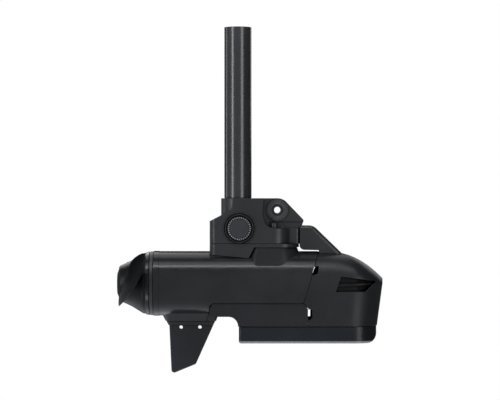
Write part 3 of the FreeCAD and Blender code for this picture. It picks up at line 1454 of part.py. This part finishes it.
def propeller():
    """Hub shell and two blades as one moulding."""
    stations = [
        (24, -147, 36, 52, 2, 9, 0), (42, -146, 42, 47, 3, 8.5, 1), (60, -144.5, 60, 37, 6, 7, 3),
        (80, -143.5, 75, 29, 8, 5.5, 5), (97, -143.3, 79, 25.6, 8.8, 4.5, 6),
        (115, -145, 70, 22, 10.5, 3.6, 5), (128, -147, 54, 19.5, 13, 2.8, 3.5),
        (136, -148.2, 38, 18.4, 14.4, 2, 2), (S.prop_r.value, -148.4, 20, 18.2, 14.6, 1.4, 1)]
    blade = Part.makeLoft([blade_section(*row) for row in stations], True, False)
    other = blade.copy()
    axis_point = FreeCAD.Vector(0, 0, S.motor_z.value)
    other.rotate(axis_point, AHEAD, 180)
    hub = turned([
        (-157, 0), (-157, 20), (-165.2, 20), (S.prop_rim.value, 21.2), (-166, 23.2), (-164, 25.2),
        (-157, 28.2),
        (-147, 33), (-139, 38), (-133.5, 41.4), (-131, 42.4), (S.prop_front.value, S.hub_r.value),
        (S.prop_front.value, 39.4), (-134, 37.6), (-140, 33.6), (-149, 28), (-152, 24),
        (-152, 11), (-128.9, 11),
        (-128.9, 0)])
    inner_hub = turned([
        (-153, 0), (-153, 10), (-152, 10.5), (-130, 10.5), (-130, 0)])
    bore = turned([(-170, 0), (-170, 12.2), (-147.4, 12.2), (-147.4, 6.06), (-120, 6.06), (-120, 0)])
    hollow = turned([
        (S.prop_front.value + 1, 11), (S.prop_front.value + 1, 39.4), (-134, 37.6), (-140, 33.6),
        (-149, 28),
        (-151, 24), (-151, 11)])
    blades = blade.fuse(other).cut(hollow)
    shape = hub.fuse(inner_hub).fuse(blades).cut(bore)
    pin = Part.makeCylinder(S.pin_d.value / 2 + 0.05, 22,
        FreeCAD.Vector(S.pin_x.value, 0, S.motor_z.value - 11))
    slot = Part.makeBox(30, 5.1, 22, FreeCAD.Vector(S.pin_x.value, -2.55, S.motor_z.value - 11))
    shape = shape.cut(pin).cut(slot)
    add_shape("propeller", shape.removeSplitter())


def turned(profile):
    """Solid of a closed (x, radius) profile turned about the motor axis."""
    axis_z = S.motor_z.value
    points = [FreeCAD.Vector(x, 0, axis_z + r) for x, r in profile]
    face = Part.Face(Part.makePolygon(points + points[:1]))
    return face.revolve(FreeCAD.Vector(0, 0, axis_z), AHEAD, 360)


def prop_fixings():
    pin = Piece("shear_pin")
    rod = pin.sketch("XY")
    circle(rod, S.pin_x, 0, S.pin_d / 2)
    pin.pad(rod, 21, both=True)
    pin.drop()
    ring("prop_washer", -149, -147.5, S.thread_r + 0.05, 12)
    Piece("prop_nut").revolve([
        (-149.1, S.thread_r + 0.05), (-149.1, 11.8), (-165.3, 11.8), (-165.3, 19.4), (-166.6, 19.2, 0.8),
        (-168.4, 15, 3), (-168.4, 0), (-164, 0), (-164, S.thread_r + 0.05)])


def build():
    shaft_tube()
    mount_core()
    mount_cover("mount_cover_left", 1)
    mount_cover("mount_cover_right", -1)
    mount_base()
    mount_bolts()
    lock_bolt()
    knob_washer()
    lock_knob()
    motor_housing()
    lower_cover()
    nose_cone()
    vent_insert("vent_insert_left", 1)
    vent_insert("vent_insert_right", -1)
    cable_guard()
    transducer_housing()
    pod_screws()
    transducer_lid()
    transducer_elements()
    skeg_fin()
    skeg_screws()
    rear_end_cap()
    end_cap_screws()
    rear_rings()
    o_ring("end_cap_oring", S.body_rear + 4.5, S.bore_r - 1.55, 1.45)
    shaft_seals()
    bearing("rear", S.cap_rear + 5.3)
    bearing("front", S.plate_rear)
    bearing_plate()
    stator_core()
    stator_windings()
    motor_shaft()
    rotor()
    front_bulkhead()
    heat_sink()
    electronics()
    power_harness()
    sonar_cable()
    cable_fittings()
    propeller()
    prop_fixings()


def check():
    """Stop on any failed object, empty or invalid shape, and any cut that removed nothing."""
    faults = []
    for item in DOC.Objects:
        if {"Invalid", "Error"} & set(item.State):
            faults.append(f"{item.Label}: {item.getStatusString()}")
        elif item.TypeId in ("PartDesign::Pocket", "PartDesign::Groove") and item.BaseFeature:
            if item.Shape.Volume > item.BaseFeature.Shape.Volume - 0.01:
                faults.append(f"{item.Name} cuts nothing")
    for part in PARTS:
        if part.Shape.isNull() or not part.Shape.isValid() or part.Shape.Volume <= 0:
            faults.append(f"{part.Label}: bad shape")
    if faults:
        raise RuntimeError("; ".join(faults))


def export():
    os.makedirs("parts", exist_ok=True)
    for part in PARTS:
        part.Shape.exportStep(f"parts/{part.Label}.step")


build()
DOC.recompute()
check()
export()
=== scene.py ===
import json
import math

import bpy
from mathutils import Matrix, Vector


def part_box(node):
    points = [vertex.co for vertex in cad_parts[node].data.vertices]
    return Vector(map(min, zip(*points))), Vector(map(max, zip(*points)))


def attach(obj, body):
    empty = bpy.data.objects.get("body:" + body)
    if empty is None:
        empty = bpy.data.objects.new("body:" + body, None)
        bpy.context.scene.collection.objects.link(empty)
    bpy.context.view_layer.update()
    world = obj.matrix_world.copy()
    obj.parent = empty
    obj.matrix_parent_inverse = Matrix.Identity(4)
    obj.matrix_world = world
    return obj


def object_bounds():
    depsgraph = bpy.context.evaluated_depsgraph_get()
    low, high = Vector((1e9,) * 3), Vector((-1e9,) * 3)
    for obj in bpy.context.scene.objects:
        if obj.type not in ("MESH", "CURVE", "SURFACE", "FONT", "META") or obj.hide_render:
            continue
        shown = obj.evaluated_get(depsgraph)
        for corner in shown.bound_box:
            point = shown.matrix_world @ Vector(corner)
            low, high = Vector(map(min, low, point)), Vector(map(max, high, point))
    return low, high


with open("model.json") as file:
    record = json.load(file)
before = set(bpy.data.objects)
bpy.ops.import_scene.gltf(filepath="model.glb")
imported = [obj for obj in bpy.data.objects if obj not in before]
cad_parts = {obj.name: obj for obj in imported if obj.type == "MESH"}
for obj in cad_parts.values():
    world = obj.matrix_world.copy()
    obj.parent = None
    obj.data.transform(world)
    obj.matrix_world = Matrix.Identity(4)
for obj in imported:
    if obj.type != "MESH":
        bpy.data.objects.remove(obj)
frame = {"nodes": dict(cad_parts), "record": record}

# Trolling motor lower unit on its shaft: finishes, fine pieces, studio and camera.
# Metres, in the CAD frame: +X forward, +Z up the shaft, camera on the starboard side (-Y).

CAD_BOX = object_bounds()
NODES = frame["nodes"]

MOTOR_AXIS_Z = -0.358

# The world's brightness: in front and below, above and behind, and low behind.
FRONT_LIGHT = 0.54
BACK_LIGHT = 0.04
FLOOR_LIGHT = 1.05

# How far the shaft's two strip lights stand above the middle.
STRIP_LIFT = 0.67

# Camera distance and the width it takes in, both in heights of the object.
CAMERA_DISTANCE = 5.8
FRAME_WIDTH = 1.4494

# Materials: reach and depth of the painted shade in gaps, colour drift, and the pod lip's painted
# reflection.
GAP_REACH = 0.0035
GAP_FLOOR = 0.1
DRIFT = 0.25
# Painted reflection: a pale band along the bottom of the pod, below the lip height.
LIP_FADE = 0.0015
POD_LIP_TOP = -0.4364
POD_LIP_REFLECTION = (0.2, 0.21, 0.225)

# Painted highlights: pale crowns on the knob's and the accessory plate's teeth.
EASE = 0.0002
KNOB_TEETH = 32
KNOB_TOOTH_INNER, KNOB_TOOTH_OUTER = 0.0139, 0.0160
KNOB_TOOTH_HALF = 0.00065
CROWN_RISE = 0.0004
ACCESSORY_HOLE = Vector((0.055, 0, -0.2554))
ROSETTE_TEETH = 36
ROSETTE_INNER, ROSETTE_OUTER = 0.0082, 0.0152
ROSETTE_TOOTH_HALF = 0.0004
ROSETTE_REAR, ROSETTE_FRONT = -0.0129, -0.0136

# Dark plates of painted shade behind open seams: (x, z) outlines in mm, and their (near, far) places
# along y in mm.
MIDDLE_DEPTH = (-1, 1)
SKIRT_DEPTH = (-26, -24.5)
SKIRT_SHADE_PLATE = [(-38, -321.5), (8, -321.5), (8, -316), (-38, -316)]
SHADE_PLATES = {
    "nose_seam_shade": [
        (103.2, -329), (113, -329), (113, -350), (101.8, -350), (101.8, -343.7), (104.9, -343),
        (108.2, -335), (103.2, -334.6)],
    "belly_seam_shade": [(88, -392.5), (102, -392.5), (102, -381), (88, -381)],
    "belly_foot_shade": [(93, -411), (103, -411), (103, -404.2), (93, -404.2)],
    "skeg_seam_shade": [(-47, -414), (-39, -414), (-37.5, -393), (-47, -393)],
}


# ---------------------------------------------------------------- materials

class Graph:
    """Short calls for building one material's node tree."""

    def __init__(self, name):
        self.material = bpy.data.materials.new(name)
        self.material.use_nodes = True
        self.tree = self.material.node_tree
        self.tree.nodes.clear()
        self.output = self.add("ShaderNodeOutputMaterial")
        self.shader = self.add("ShaderNodeBsdfPrincipled")
        self.link(self.shader, "BSDF", self.output, "Surface")
        self.coords = self.add("ShaderNodeTexCoord")

    def add(self, kind, **settings):
        node = self.tree.nodes.new(kind)
        for key, value in settings.items():
            setattr(node, key, value)
        return node

    def link(self, source, output, target, socket):
        self.tree.links.new(source.outputs[output], target.inputs[socket])

    def stretch(self, scale):
        """Object coordinates with their own scale along each axis."""
        mapping = self.add("ShaderNodeMapping")
        mapping.inputs["Scale"].default_value = scale
        self.link(self.coords, "Object", mapping, "Vector")
        return mapping

    def noise(self, scale, detail=3.0, roughness=0.55, stretch=None):
        node = self.add("ShaderNodeTexNoise")
        node.inputs["Scale"].default_value = scale
        node.inputs["Detail"].default_value = detail
        node.inputs["Roughness"].default_value = roughness
        if stretch is None:
            self.link(self.coords, "Object", node, "Vector")
        else:
            self.link(self.stretch(stretch), "Vector", node, "Vector")
        return node

    def ramp(self, source, low, high):
        """Map a noise value to a band of numbers."""
        node = self.add("ShaderNodeMapRange")
        node.inputs["From Min"].default_value = 0.3
        node.inputs["From Max"].default_value = 0.7
        node.inputs["To Min"].default_value = low
        node.inputs["To Max"].default_value = high
        self.link(source, "Fac" if "Fac" in source.outputs else 0, node, "Value")
        return node

    def tint(self, source, dark, light):
        node = self.add("ShaderNodeMix", data_type="RGBA")
        node.inputs["A"].default_value = (*dark, 1)
        node.inputs["B"].default_value = (*light, 1)
        self.link(source, "Result", node, "Factor")
        return node

    def painted_gap_shade(self):
        """Painted shade from ambient occlusion: from a dark floor in tight gaps to 1 on open faces."""
        shade = self.add("ShaderNodeAmbientOcclusion", samples=6)
        shade.inputs["Distance"].default_value = GAP_REACH
        node = self.add("ShaderNodeMapRange")
        node.inputs["From Min"].default_value = 0.35
        node.inputs["From Max"].default_value = 0.8
        node.inputs["To Min"].default_value = GAP_FLOOR
        node.inputs["To Max"].default_value = 1.0
        self.link(shade, "AO", node, "Value")
        return node

    def darkened(self, paint, shade):
        node = self.add("ShaderNodeMix", data_type="RGBA", blend_type="MULTIPLY")
        node.inputs["Factor"].default_value = 1
        self.link(paint, "Result", node, "A")
        self.link(shade, "Result", node, "B")
        return node

    def below(self, paint, height, colour):
        """The paint, which turns to another colour under a height in metres."""
        split = self.add("ShaderNodeSeparateXYZ")
        self.link(self.coords, "Object", split, "Vector")
        edge = self.add("ShaderNodeMapRange")
        edge.inputs["From Min"].default_value = height - LIP_FADE
        edge.inputs["From Max"].default_value = height
        edge.inputs["To Min"].default_value = 1
        edge.inputs["To Max"].default_value = 0
        self.link(split, "Z", edge, "Value")
        node = self.add("ShaderNodeMix", data_type="RGBA")
        self.link(edge, "Result", node, "Factor")
        self.link(paint, "Result", node, "A")
        node.inputs["B"].default_value = (*colour, 1)
        return node

    def scaled(self, source, amount):
        node = self.add("ShaderNodeMath", operation="MULTIPLY")
        self.tree.links.new(source.outputs["Result"], node.inputs[0])
        node.inputs[1].default_value = amount
        return node

    def bump(self, height, output, strength, distance, normal=None):
        node = self.add("ShaderNodeBump")
        node.inputs["Strength"].default_value = strength
        node.inputs["Distance"].default_value = distance
        self.link(height, output, node, "Height")
        if normal is not None:
            self.link(normal, "Normal", node, "Normal")
        return node


def moulded(name, colour, roughness, grain, grain_depth, specular=0.35, edge=0.0004, lip=None):
    """Black plastic or coated metal: fine grain, soft colour drift, uneven gloss, eased edges, painted
    shade in tight gaps.

    lip is (height, colour): below that height the paint turns to that colour, a painted reflection.
    """
    g = Graph(name)
    drift = g.noise(14, 4)
    dark = tuple(c * (1 - DRIFT) for c in colour)
    light = tuple(c * (1 + DRIFT) for c in colour)
    # Painted shade: ambient occlusion darkens the colour and the specular level in tight gaps.
    gap_shade = g.painted_gap_shade()
    paint = g.tint(g.ramp(drift, 0, 1), dark, light)
    # Painted reflection: below the lip height the paint turns pale.
    if lip is not None:
        paint = g.below(paint, *lip)
    g.link(g.darkened(paint, gap_shade), "Result", g.shader, "Base Color")
    smudge = g.noise(33, 5, 0.6)
    g.link(g.ramp(smudge, roughness - 0.045, roughness + 0.06), "Result", g.shader, "Roughness")
    eased = g.add("ShaderNodeBevel", samples=4)
    eased.inputs["Radius"].default_value = edge
    fine = g.noise(grain, 2, 0.5)
    g.link(g.bump(fine, "Fac", 0.35, grain_depth, eased), "Normal", g.shader, "Normal")
    g.link(g.scaled(gap_shade, specular), "Value", g.shader, "Specular IOR Level")
    return g.material


def metal(name, colour, roughness, brushed=(1, 1, 1), scale=400):
    """Bare metal with a brushed or machined grain."""
    g = Graph(name)
    grain = g.noise(scale, 3, 0.6, brushed)
    dark = tuple(c * 0.8 for c in colour)
    g.link(g.tint(g.ramp(grain, 0, 1), dark, colour), "Result", g.shader, "Base Color")
    g.link(g.ramp(grain, roughness * 0.7, roughness * 1.3), "Result", g.shader, "Roughness")
    g.link(g.bump(grain, "Fac", 0.2, 0.00005), "Normal", g.shader, "Normal")
    g.shader.inputs["Metallic"].default_value = 1
    return g.material


def make_materials():
    black = (0.0130, 0.0136, 0.0150)
    return {
        "shaft_gloss": moulded("shaft_gloss", (0.017, 0.0176, 0.019), 0.2, 900, 0.00001, 0.5, 0.0003),
        "cast_black": moulded("cast_black", black, 0.36, 1500, 0.00006, 0.4, 0.0008),
        "satin_black": moulded(
            "satin_black", (0.0145, 0.0152, 0.0168), 0.33, 2200, 0.00004, 0.34, 0.0008),
        "housing_black": moulded("housing_black", black, 0.19, 700, 0.00001, 0.26),
        "nose_black": moulded(
            "nose_black", (0.0098, 0.0104, 0.0118), 0.34, 2200, 0.00003, 0.24, 0.0011),
        "skeg_black": moulded("skeg_black", (0.0085, 0.0095, 0.0115), 0.45, 1800, 0.00004, 0.25),
        "knob_black": moulded(
            "knob_black", (0.0165, 0.0185, 0.0215), 0.45, 2400, 0.00005, 0.35, 0.0006),
        # The next two are pale paints for painted highlights on the teeth's crowns.
        "knob_tooth_highlight": moulded("knob_tooth_highlight", (0.24, 0.25, 0.265), 0.5, 2400, 0.00003, 0.35, 0.0001),
        "rosette_tooth_highlight": moulded("rosette_tooth_highlight", (0.13, 0.134, 0.14), 0.4, 1500, 0.00003, 0.4, 0.0001),
        # pod_black carries a painted reflection: a pale band along its lip.
        "pod_black": moulded(
            "pod_black", (0.0050, 0.0068, 0.0090), 0.24, 1200, 0.00001, 0.3, 0.0008,
            (POD_LIP_TOP, POD_LIP_REFLECTION)),
        "prop_black": moulded("prop_black", (0.0045, 0.0048, 0.0056), 0.36, 1400, 0.00003, 0.17),
        "anode_coated": moulded("anode_coated", (0.018, 0.019, 0.021), 0.42, 900, 0.00008, 0.35),
        "dark_insert": moulded("dark_insert", (0.003, 0.003, 0.0032), 0.4, 1500, 0.00005, 0.16),
        "rubber_black": moulded("rubber_black", (0.012, 0.012, 0.0125), 0.7, 1500, 0.00008, 0.2),
        "cable_rubber": moulded("cable_rubber", (0.014, 0.014, 0.015), 0.6, 1500, 0.00008, 0.25),
        "stainless": metal("stainless", (0.55, 0.55, 0.56), 0.28),
        "bearing_steel": metal("bearing_steel", (0.66, 0.66, 0.67), 0.12),
        "bare_aluminium": metal("bare_aluminium", (0.66, 0.67, 0.69), 0.35, (1, 8, 8)),
        "lamination_steel": metal("lamination_steel", (0.3, 0.31, 0.33), 0.4, (40, 1, 1)),
        "copper": metal("copper", (0.72, 0.34, 0.16), 0.3, (1, 20, 20)),
        "brass": metal("brass", (0.78, 0.6, 0.3), 0.25),
        "magnet": metal("magnet", (0.5, 0.5, 0.52), 0.22),
        "ceramic": moulded("ceramic", (0.7, 0.66, 0.58), 0.55, 900, 0.00005, 0.4),
        "circuit_board": moulded("circuit_board", (0.015, 0.13, 0.06), 0.3, 500, 0.00003, 0.5),
    }


def dress_nodes(materials):
    """Give every CAD node the finish of its slot in the record."""
    for row in frame["record"]["subparts"]:
        node = NODES[row["node"]]
        material = materials[row["material_slot"]]
        node.data.materials.clear()
        node.data.materials.append(material)


# ---------------------------------------------------------------- fine pieces

def tooth_block(centre, turn, inner, outer, half_wide, rear, front):
    """Corners and faces of one small radial block that stands proud along -Y."""
    along = Vector((math.cos(turn), 0, math.sin(turn)))
    across = Vector((-math.sin(turn), 0, math.cos(turn)))
    corners = []
    for depth, ease in ((rear, 0.0), (front, EASE)):
        near, far = inner + ease, outer - ease
        for radius, side in ((near, -1), (far, -1), (far, 1), (near, 1)):
            flat = centre + along * radius + across * side * (half_wide - ease)
            corners.append((flat.x, depth, flat.z))
    faces = [(0, 3, 2, 1), (4, 5, 6, 7), (0, 1, 5, 4), (1, 2, 6, 5), (2, 3, 7, 6), (3, 0, 4, 7)]
    return corners, faces


def radial_blocks(name, centre, count, inner, outer, half_wide, rear, front):
    """A ring of small radial blocks as one mesh."""
    verts, faces = [], []
    for i in range(count):
        corners, sides = tooth_block(
            centre, 2 * math.pi * i / count, inner, outer, half_wide, rear, front)
        faces += [tuple(len(verts) + k for k in side) for side in sides]
        verts += corners
    mesh = bpy.data.meshes.new(name)
    mesh.from_pydata(verts, [], faces)
    obj = bpy.data.objects.new(name, mesh)
    bpy.context.scene.collection.objects.link(obj)
    return obj


def knob_teeth(material):
    """Painted highlights: pale crowns on the teeth round the lock knob's rim."""
    low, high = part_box("lock_knob")
    centre = Vector(((low[0] + high[0]) / 2, 0, (low[2] + high[2]) / 2))
    face = low[1]
    teeth = radial_blocks(
        "knob_tooth_crowns", centre, KNOB_TEETH, KNOB_TOOTH_INNER, KNOB_TOOTH_OUTER,
        KNOB_TOOTH_HALF, face + CROWN_RISE, face - CROWN_RISE)
    teeth.data.materials.append(material)
    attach(teeth, "knob")


def shade_plate(name, outline, depth, material):
    """A thin upright dark plate that stands in for shade: an (x, z) outline in mm drawn between two y
    places in mm.
    """
    count = len(outline)
    verts = [(x / 1000, y / 1000, z / 1000) for y in depth for x, z in outline]
    faces = [tuple(range(count)), tuple(range(2 * count - 1, count - 1, -1))]
    faces += [(i, i + count, (i + 1) % count + count, (i + 1) % count) for i in range(count)]
    mesh = bpy.data.meshes.new(name)
    mesh.from_pydata(verts, [], faces)
    mesh.materials.append(material)
    obj = bpy.data.objects.new(name, mesh)
    bpy.context.scene.collection.objects.link(obj)
    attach(obj, "root")


def seam_shade_plates(material):
    """Painted shade: dark plates in rubber_black that close the CAD's see-through seams, and the gap
    under the mount's skirt.
    """
    for name, outline in SHADE_PLATES.items():
        shade_plate(name, outline, MIDDLE_DEPTH, material)
    shade_plate("skirt_shade", SKIRT_SHADE_PLATE, SKIRT_DEPTH, material)


def rosette_crowns(material):
    """Painted highlights: pale crowns along the radial teeth round the accessory hole."""
    crowns = radial_blocks(
        "rosette_tooth_crowns", ACCESSORY_HOLE, ROSETTE_TEETH, ROSETTE_INNER, ROSETTE_OUTER,
        ROSETTE_TOOTH_HALF, ROSETTE_REAR, ROSETTE_FRONT)
    crowns.data.materials.append(material)
    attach(crowns, "root")


# ---------------------------------------------------------------- studio

def look_at(obj, target):
    direction = Vector(target) - obj.location
    obj.rotation_euler = direction.to_track_quat("-Z", "Y").to_euler()


def softbox(name, place, target, wide, tall, power):
    data = bpy.data.lights.new(name, "AREA")
    data.shape = "RECTANGLE"
    data.size = wide
    data.size_y = tall
    data.energy = power
    light = bpy.data.objects.new(name, data)
    bpy.context.scene.collection.objects.link(light)
    light.location = place
    look_at(light, target)
    return light


def studio_bowl(name, profile, sides):
    """Floor and wall in one sweep: a (radius, z) profile turned about the vertical."""
    verts = []
    for radius, z in profile:
        for k in range(sides):
            turn = 2 * math.pi * k / sides
            verts.append((radius * math.cos(turn), radius * math.sin(turn), z))
    faces = []
    for i in range(len(profile) - 1):
        for k in range(sides):
            far = (k + 1) % sides
            faces.append((i * sides + k, i * sides + far, (i + 1) * sides + far, (i + 1) * sides + k))
    mesh = bpy.data.meshes.new(name)
    mesh.from_pydata(verts, [], faces)
    mesh.polygons.foreach_set("use_smooth", [True] * len(faces))
    obj = bpy.data.objects.new(name, mesh)
    bpy.context.scene.collection.objects.link(obj)
    return obj


class Maths:
    """Short calls for the world's node arithmetic."""

    def __init__(self, tree):
        self.tree = tree

    def value(self, operation, a, b):
        node = self.tree.nodes.new("ShaderNodeMath")
        node.operation = operation
        for socket, term in zip(node.inputs, (a, b)):
            if isinstance(term, (int, float)):
                socket.default_value = term
            else:
                self.tree.links.new(term, socket)
        return node.outputs["Value"]

    def step(self, term, low, high, at_low, at_high):
        node = self.tree.nodes.new("ShaderNodeMapRange")
        node.interpolation_type = "SMOOTHSTEP"
        node.inputs["From Min"].default_value = low
        node.inputs["From Max"].default_value = high
        node.inputs["To Min"].default_value = at_low
        node.inputs["To Max"].default_value = at_high
        self.tree.links.new(term, node.inputs["Value"])
        return node.outputs["Result"]


def make_world():
    """Soft room light: grey in front and below, dark above and behind, bright low behind."""
    world = bpy.data.worlds.new("studio_world")
    world.use_nodes = True
    tree = world.node_tree
    tree.nodes.clear()
    maths = Maths(tree)
    coords = tree.nodes.new("ShaderNodeTexCoord")
    split = tree.nodes.new("ShaderNodeSeparateXYZ")
    tree.links.new(coords.outputs["Generated"], split.inputs["Vector"])
    ahead, up = split.outputs["Y"], split.outputs["Z"]
    slope = maths.value("ADD", ahead, maths.value("MULTIPLY", up, 1.1))
    front = maths.value(
        "MULTIPLY", maths.step(slope, -0.3, 0.9, FRONT_LIGHT, BACK_LIGHT),
        maths.step(split.outputs["X"], 0.35, 0.9, 1, 0.25))
    behind = maths.step(ahead, -0.45, 0.6, 0, FLOOR_LIGHT)
    low = maths.step(up, -0.75, -0.3, 1, 0)
    total = maths.value("ADD", front, maths.value("MULTIPLY", behind, low))
    back = tree.nodes.new("ShaderNodeBackground")
    back.inputs["Color"].default_value = (0.9, 0.94, 1.0, 1)
    out = tree.nodes.new("ShaderNodeOutputWorld")
    tree.links.new(total, back.inputs["Strength"])
    tree.links.new(back.outputs["Background"], out.inputs["Surface"])
    bpy.context.scene.world = world


def make_sweep():
    """A white floor that curves up into a white wall all round, seen only by the camera."""
    floor_z = CAD_BOX[0][2] - 0.02
    bend = 1.2
    wall = 5.0
    wall_top = 4.5
    peak = 6.0
    centre_r = 0.0001
    sides = 48
    profile = [(centre_r, floor_z)]
    for i in range(13):
        turn = math.pi / 2 * i / 12
        profile.append((wall - bend + bend * math.sin(turn), floor_z + bend * (1 - math.cos(turn))))
    profile += [(wall, wall_top), (centre_r, peak)]
    sweep = studio_bowl("studio_sweep", profile, sides)
    paper = Graph("studio_paper")
    paper.shader.inputs["Base Color"].default_value = (0, 0, 0, 1)
    paper.shader.inputs["Specular IOR Level"].default_value = 0.0
    paper.shader.inputs["Emission Color"].default_value = (1, 1, 1, 1)
    paper.shader.inputs["Emission Strength"].default_value = 1.0
    sweep.data.materials.append(paper.material)
    sweep.visible_glossy = False
    sweep.visible_diffuse = False
    sweep.visible_transmission = False
    sweep.visible_shadow = False


def around(centre, azimuth, elevation, distance):
    """A place by its angle from the camera's side (positive towards the nose) and its height angle."""
    turn, rise = math.radians(azimuth), math.radians(elevation)
    flat = math.cos(rise) * distance
    return centre + Vector((math.sin(turn) * flat, -math.cos(turn) * flat, math.sin(rise) * distance))


def make_studio(centre):
    make_world()
    make_sweep()
    body = Vector((-0.3, 0, MOTOR_AXIS_Z))
    middle = Vector((0, 0, centre.z - 0.1))
    high = middle + Vector((0, 0, STRIP_LIFT))
    low = middle + Vector((0, 0, -0.85))
    # name, aim, azimuth, elevation, distance, width, height, watts
    lights = (
        ("key_low", body, 0, 65, 2.2, 2.3, 0.24, 19),
        ("key_high", body, 0, 77, 2.2, 2.3, 0.5, 8),
        ("back_above", body, 180, 57, 2.2, 2.0, 1.5, 12),
        ("strip_left", high, -46, 0, 2.2, 0.5, 1.8, 20),
        ("strip_right", high, 36, 0, 2.2, 0.75, 1.8, 17),
        ("strip_low", low, 34, 0, 2.2, 0.9, 0.8, 5),
        ("under_left", middle, -46, -42, 2.2, 0.6, 0.9, 7),
        ("under_right", middle, 36, -42, 2.2, 0.7, 0.9, 7),
        ("strip_rear_left", middle, -113, 8, 2.2, 0.5, 2.0, 6),
        ("rear_left", middle, -155, 30, 2.4, 1.2, 1.2, 12),
        ("rear_right", middle, 150, 20, 2.4, 1.2, 1.2, 5))
    for name, aim, azimuth, elevation, distance, wide, tall, power in lights:
        softbox(name, around(aim, azimuth, elevation, distance), aim, wide, tall, power)


def make_camera(centre):
    tall = CAD_BOX[1][2] - CAD_BOX[0][2]
    distance = CAMERA_DISTANCE * tall
    data = bpy.data.cameras.new("camera")
    data.sensor_width = 36
    data.lens = data.sensor_width * distance / (FRAME_WIDTH * tall)
    camera = bpy.data.objects.new("camera", data)
    bpy.context.scene.collection.objects.link(camera)
    camera.location = centre + Vector((0, -distance, 0))
    camera.rotation_euler = (math.pi / 2, 0, 0)
    bpy.context.scene.camera = camera


def main():
    centre = (Vector(CAD_BOX[0]) + Vector(CAD_BOX[1])) / 2
    centre.y = 0
    make_camera(centre)
    make_studio(centre)
    materials = make_materials()
    dress_nodes(materials)
    # Painted highlights on the knob's and the rosette's teeth.
    knob_teeth(materials["knob_tooth_highlight"])
    rosette_crowns(materials["rosette_tooth_highlight"])
    # Dark plates of painted shade in the open seams.
    seam_shade_plates(materials["rubber_black"])
    bpy.context.scene.view_settings.view_transform = "Standard"


main()
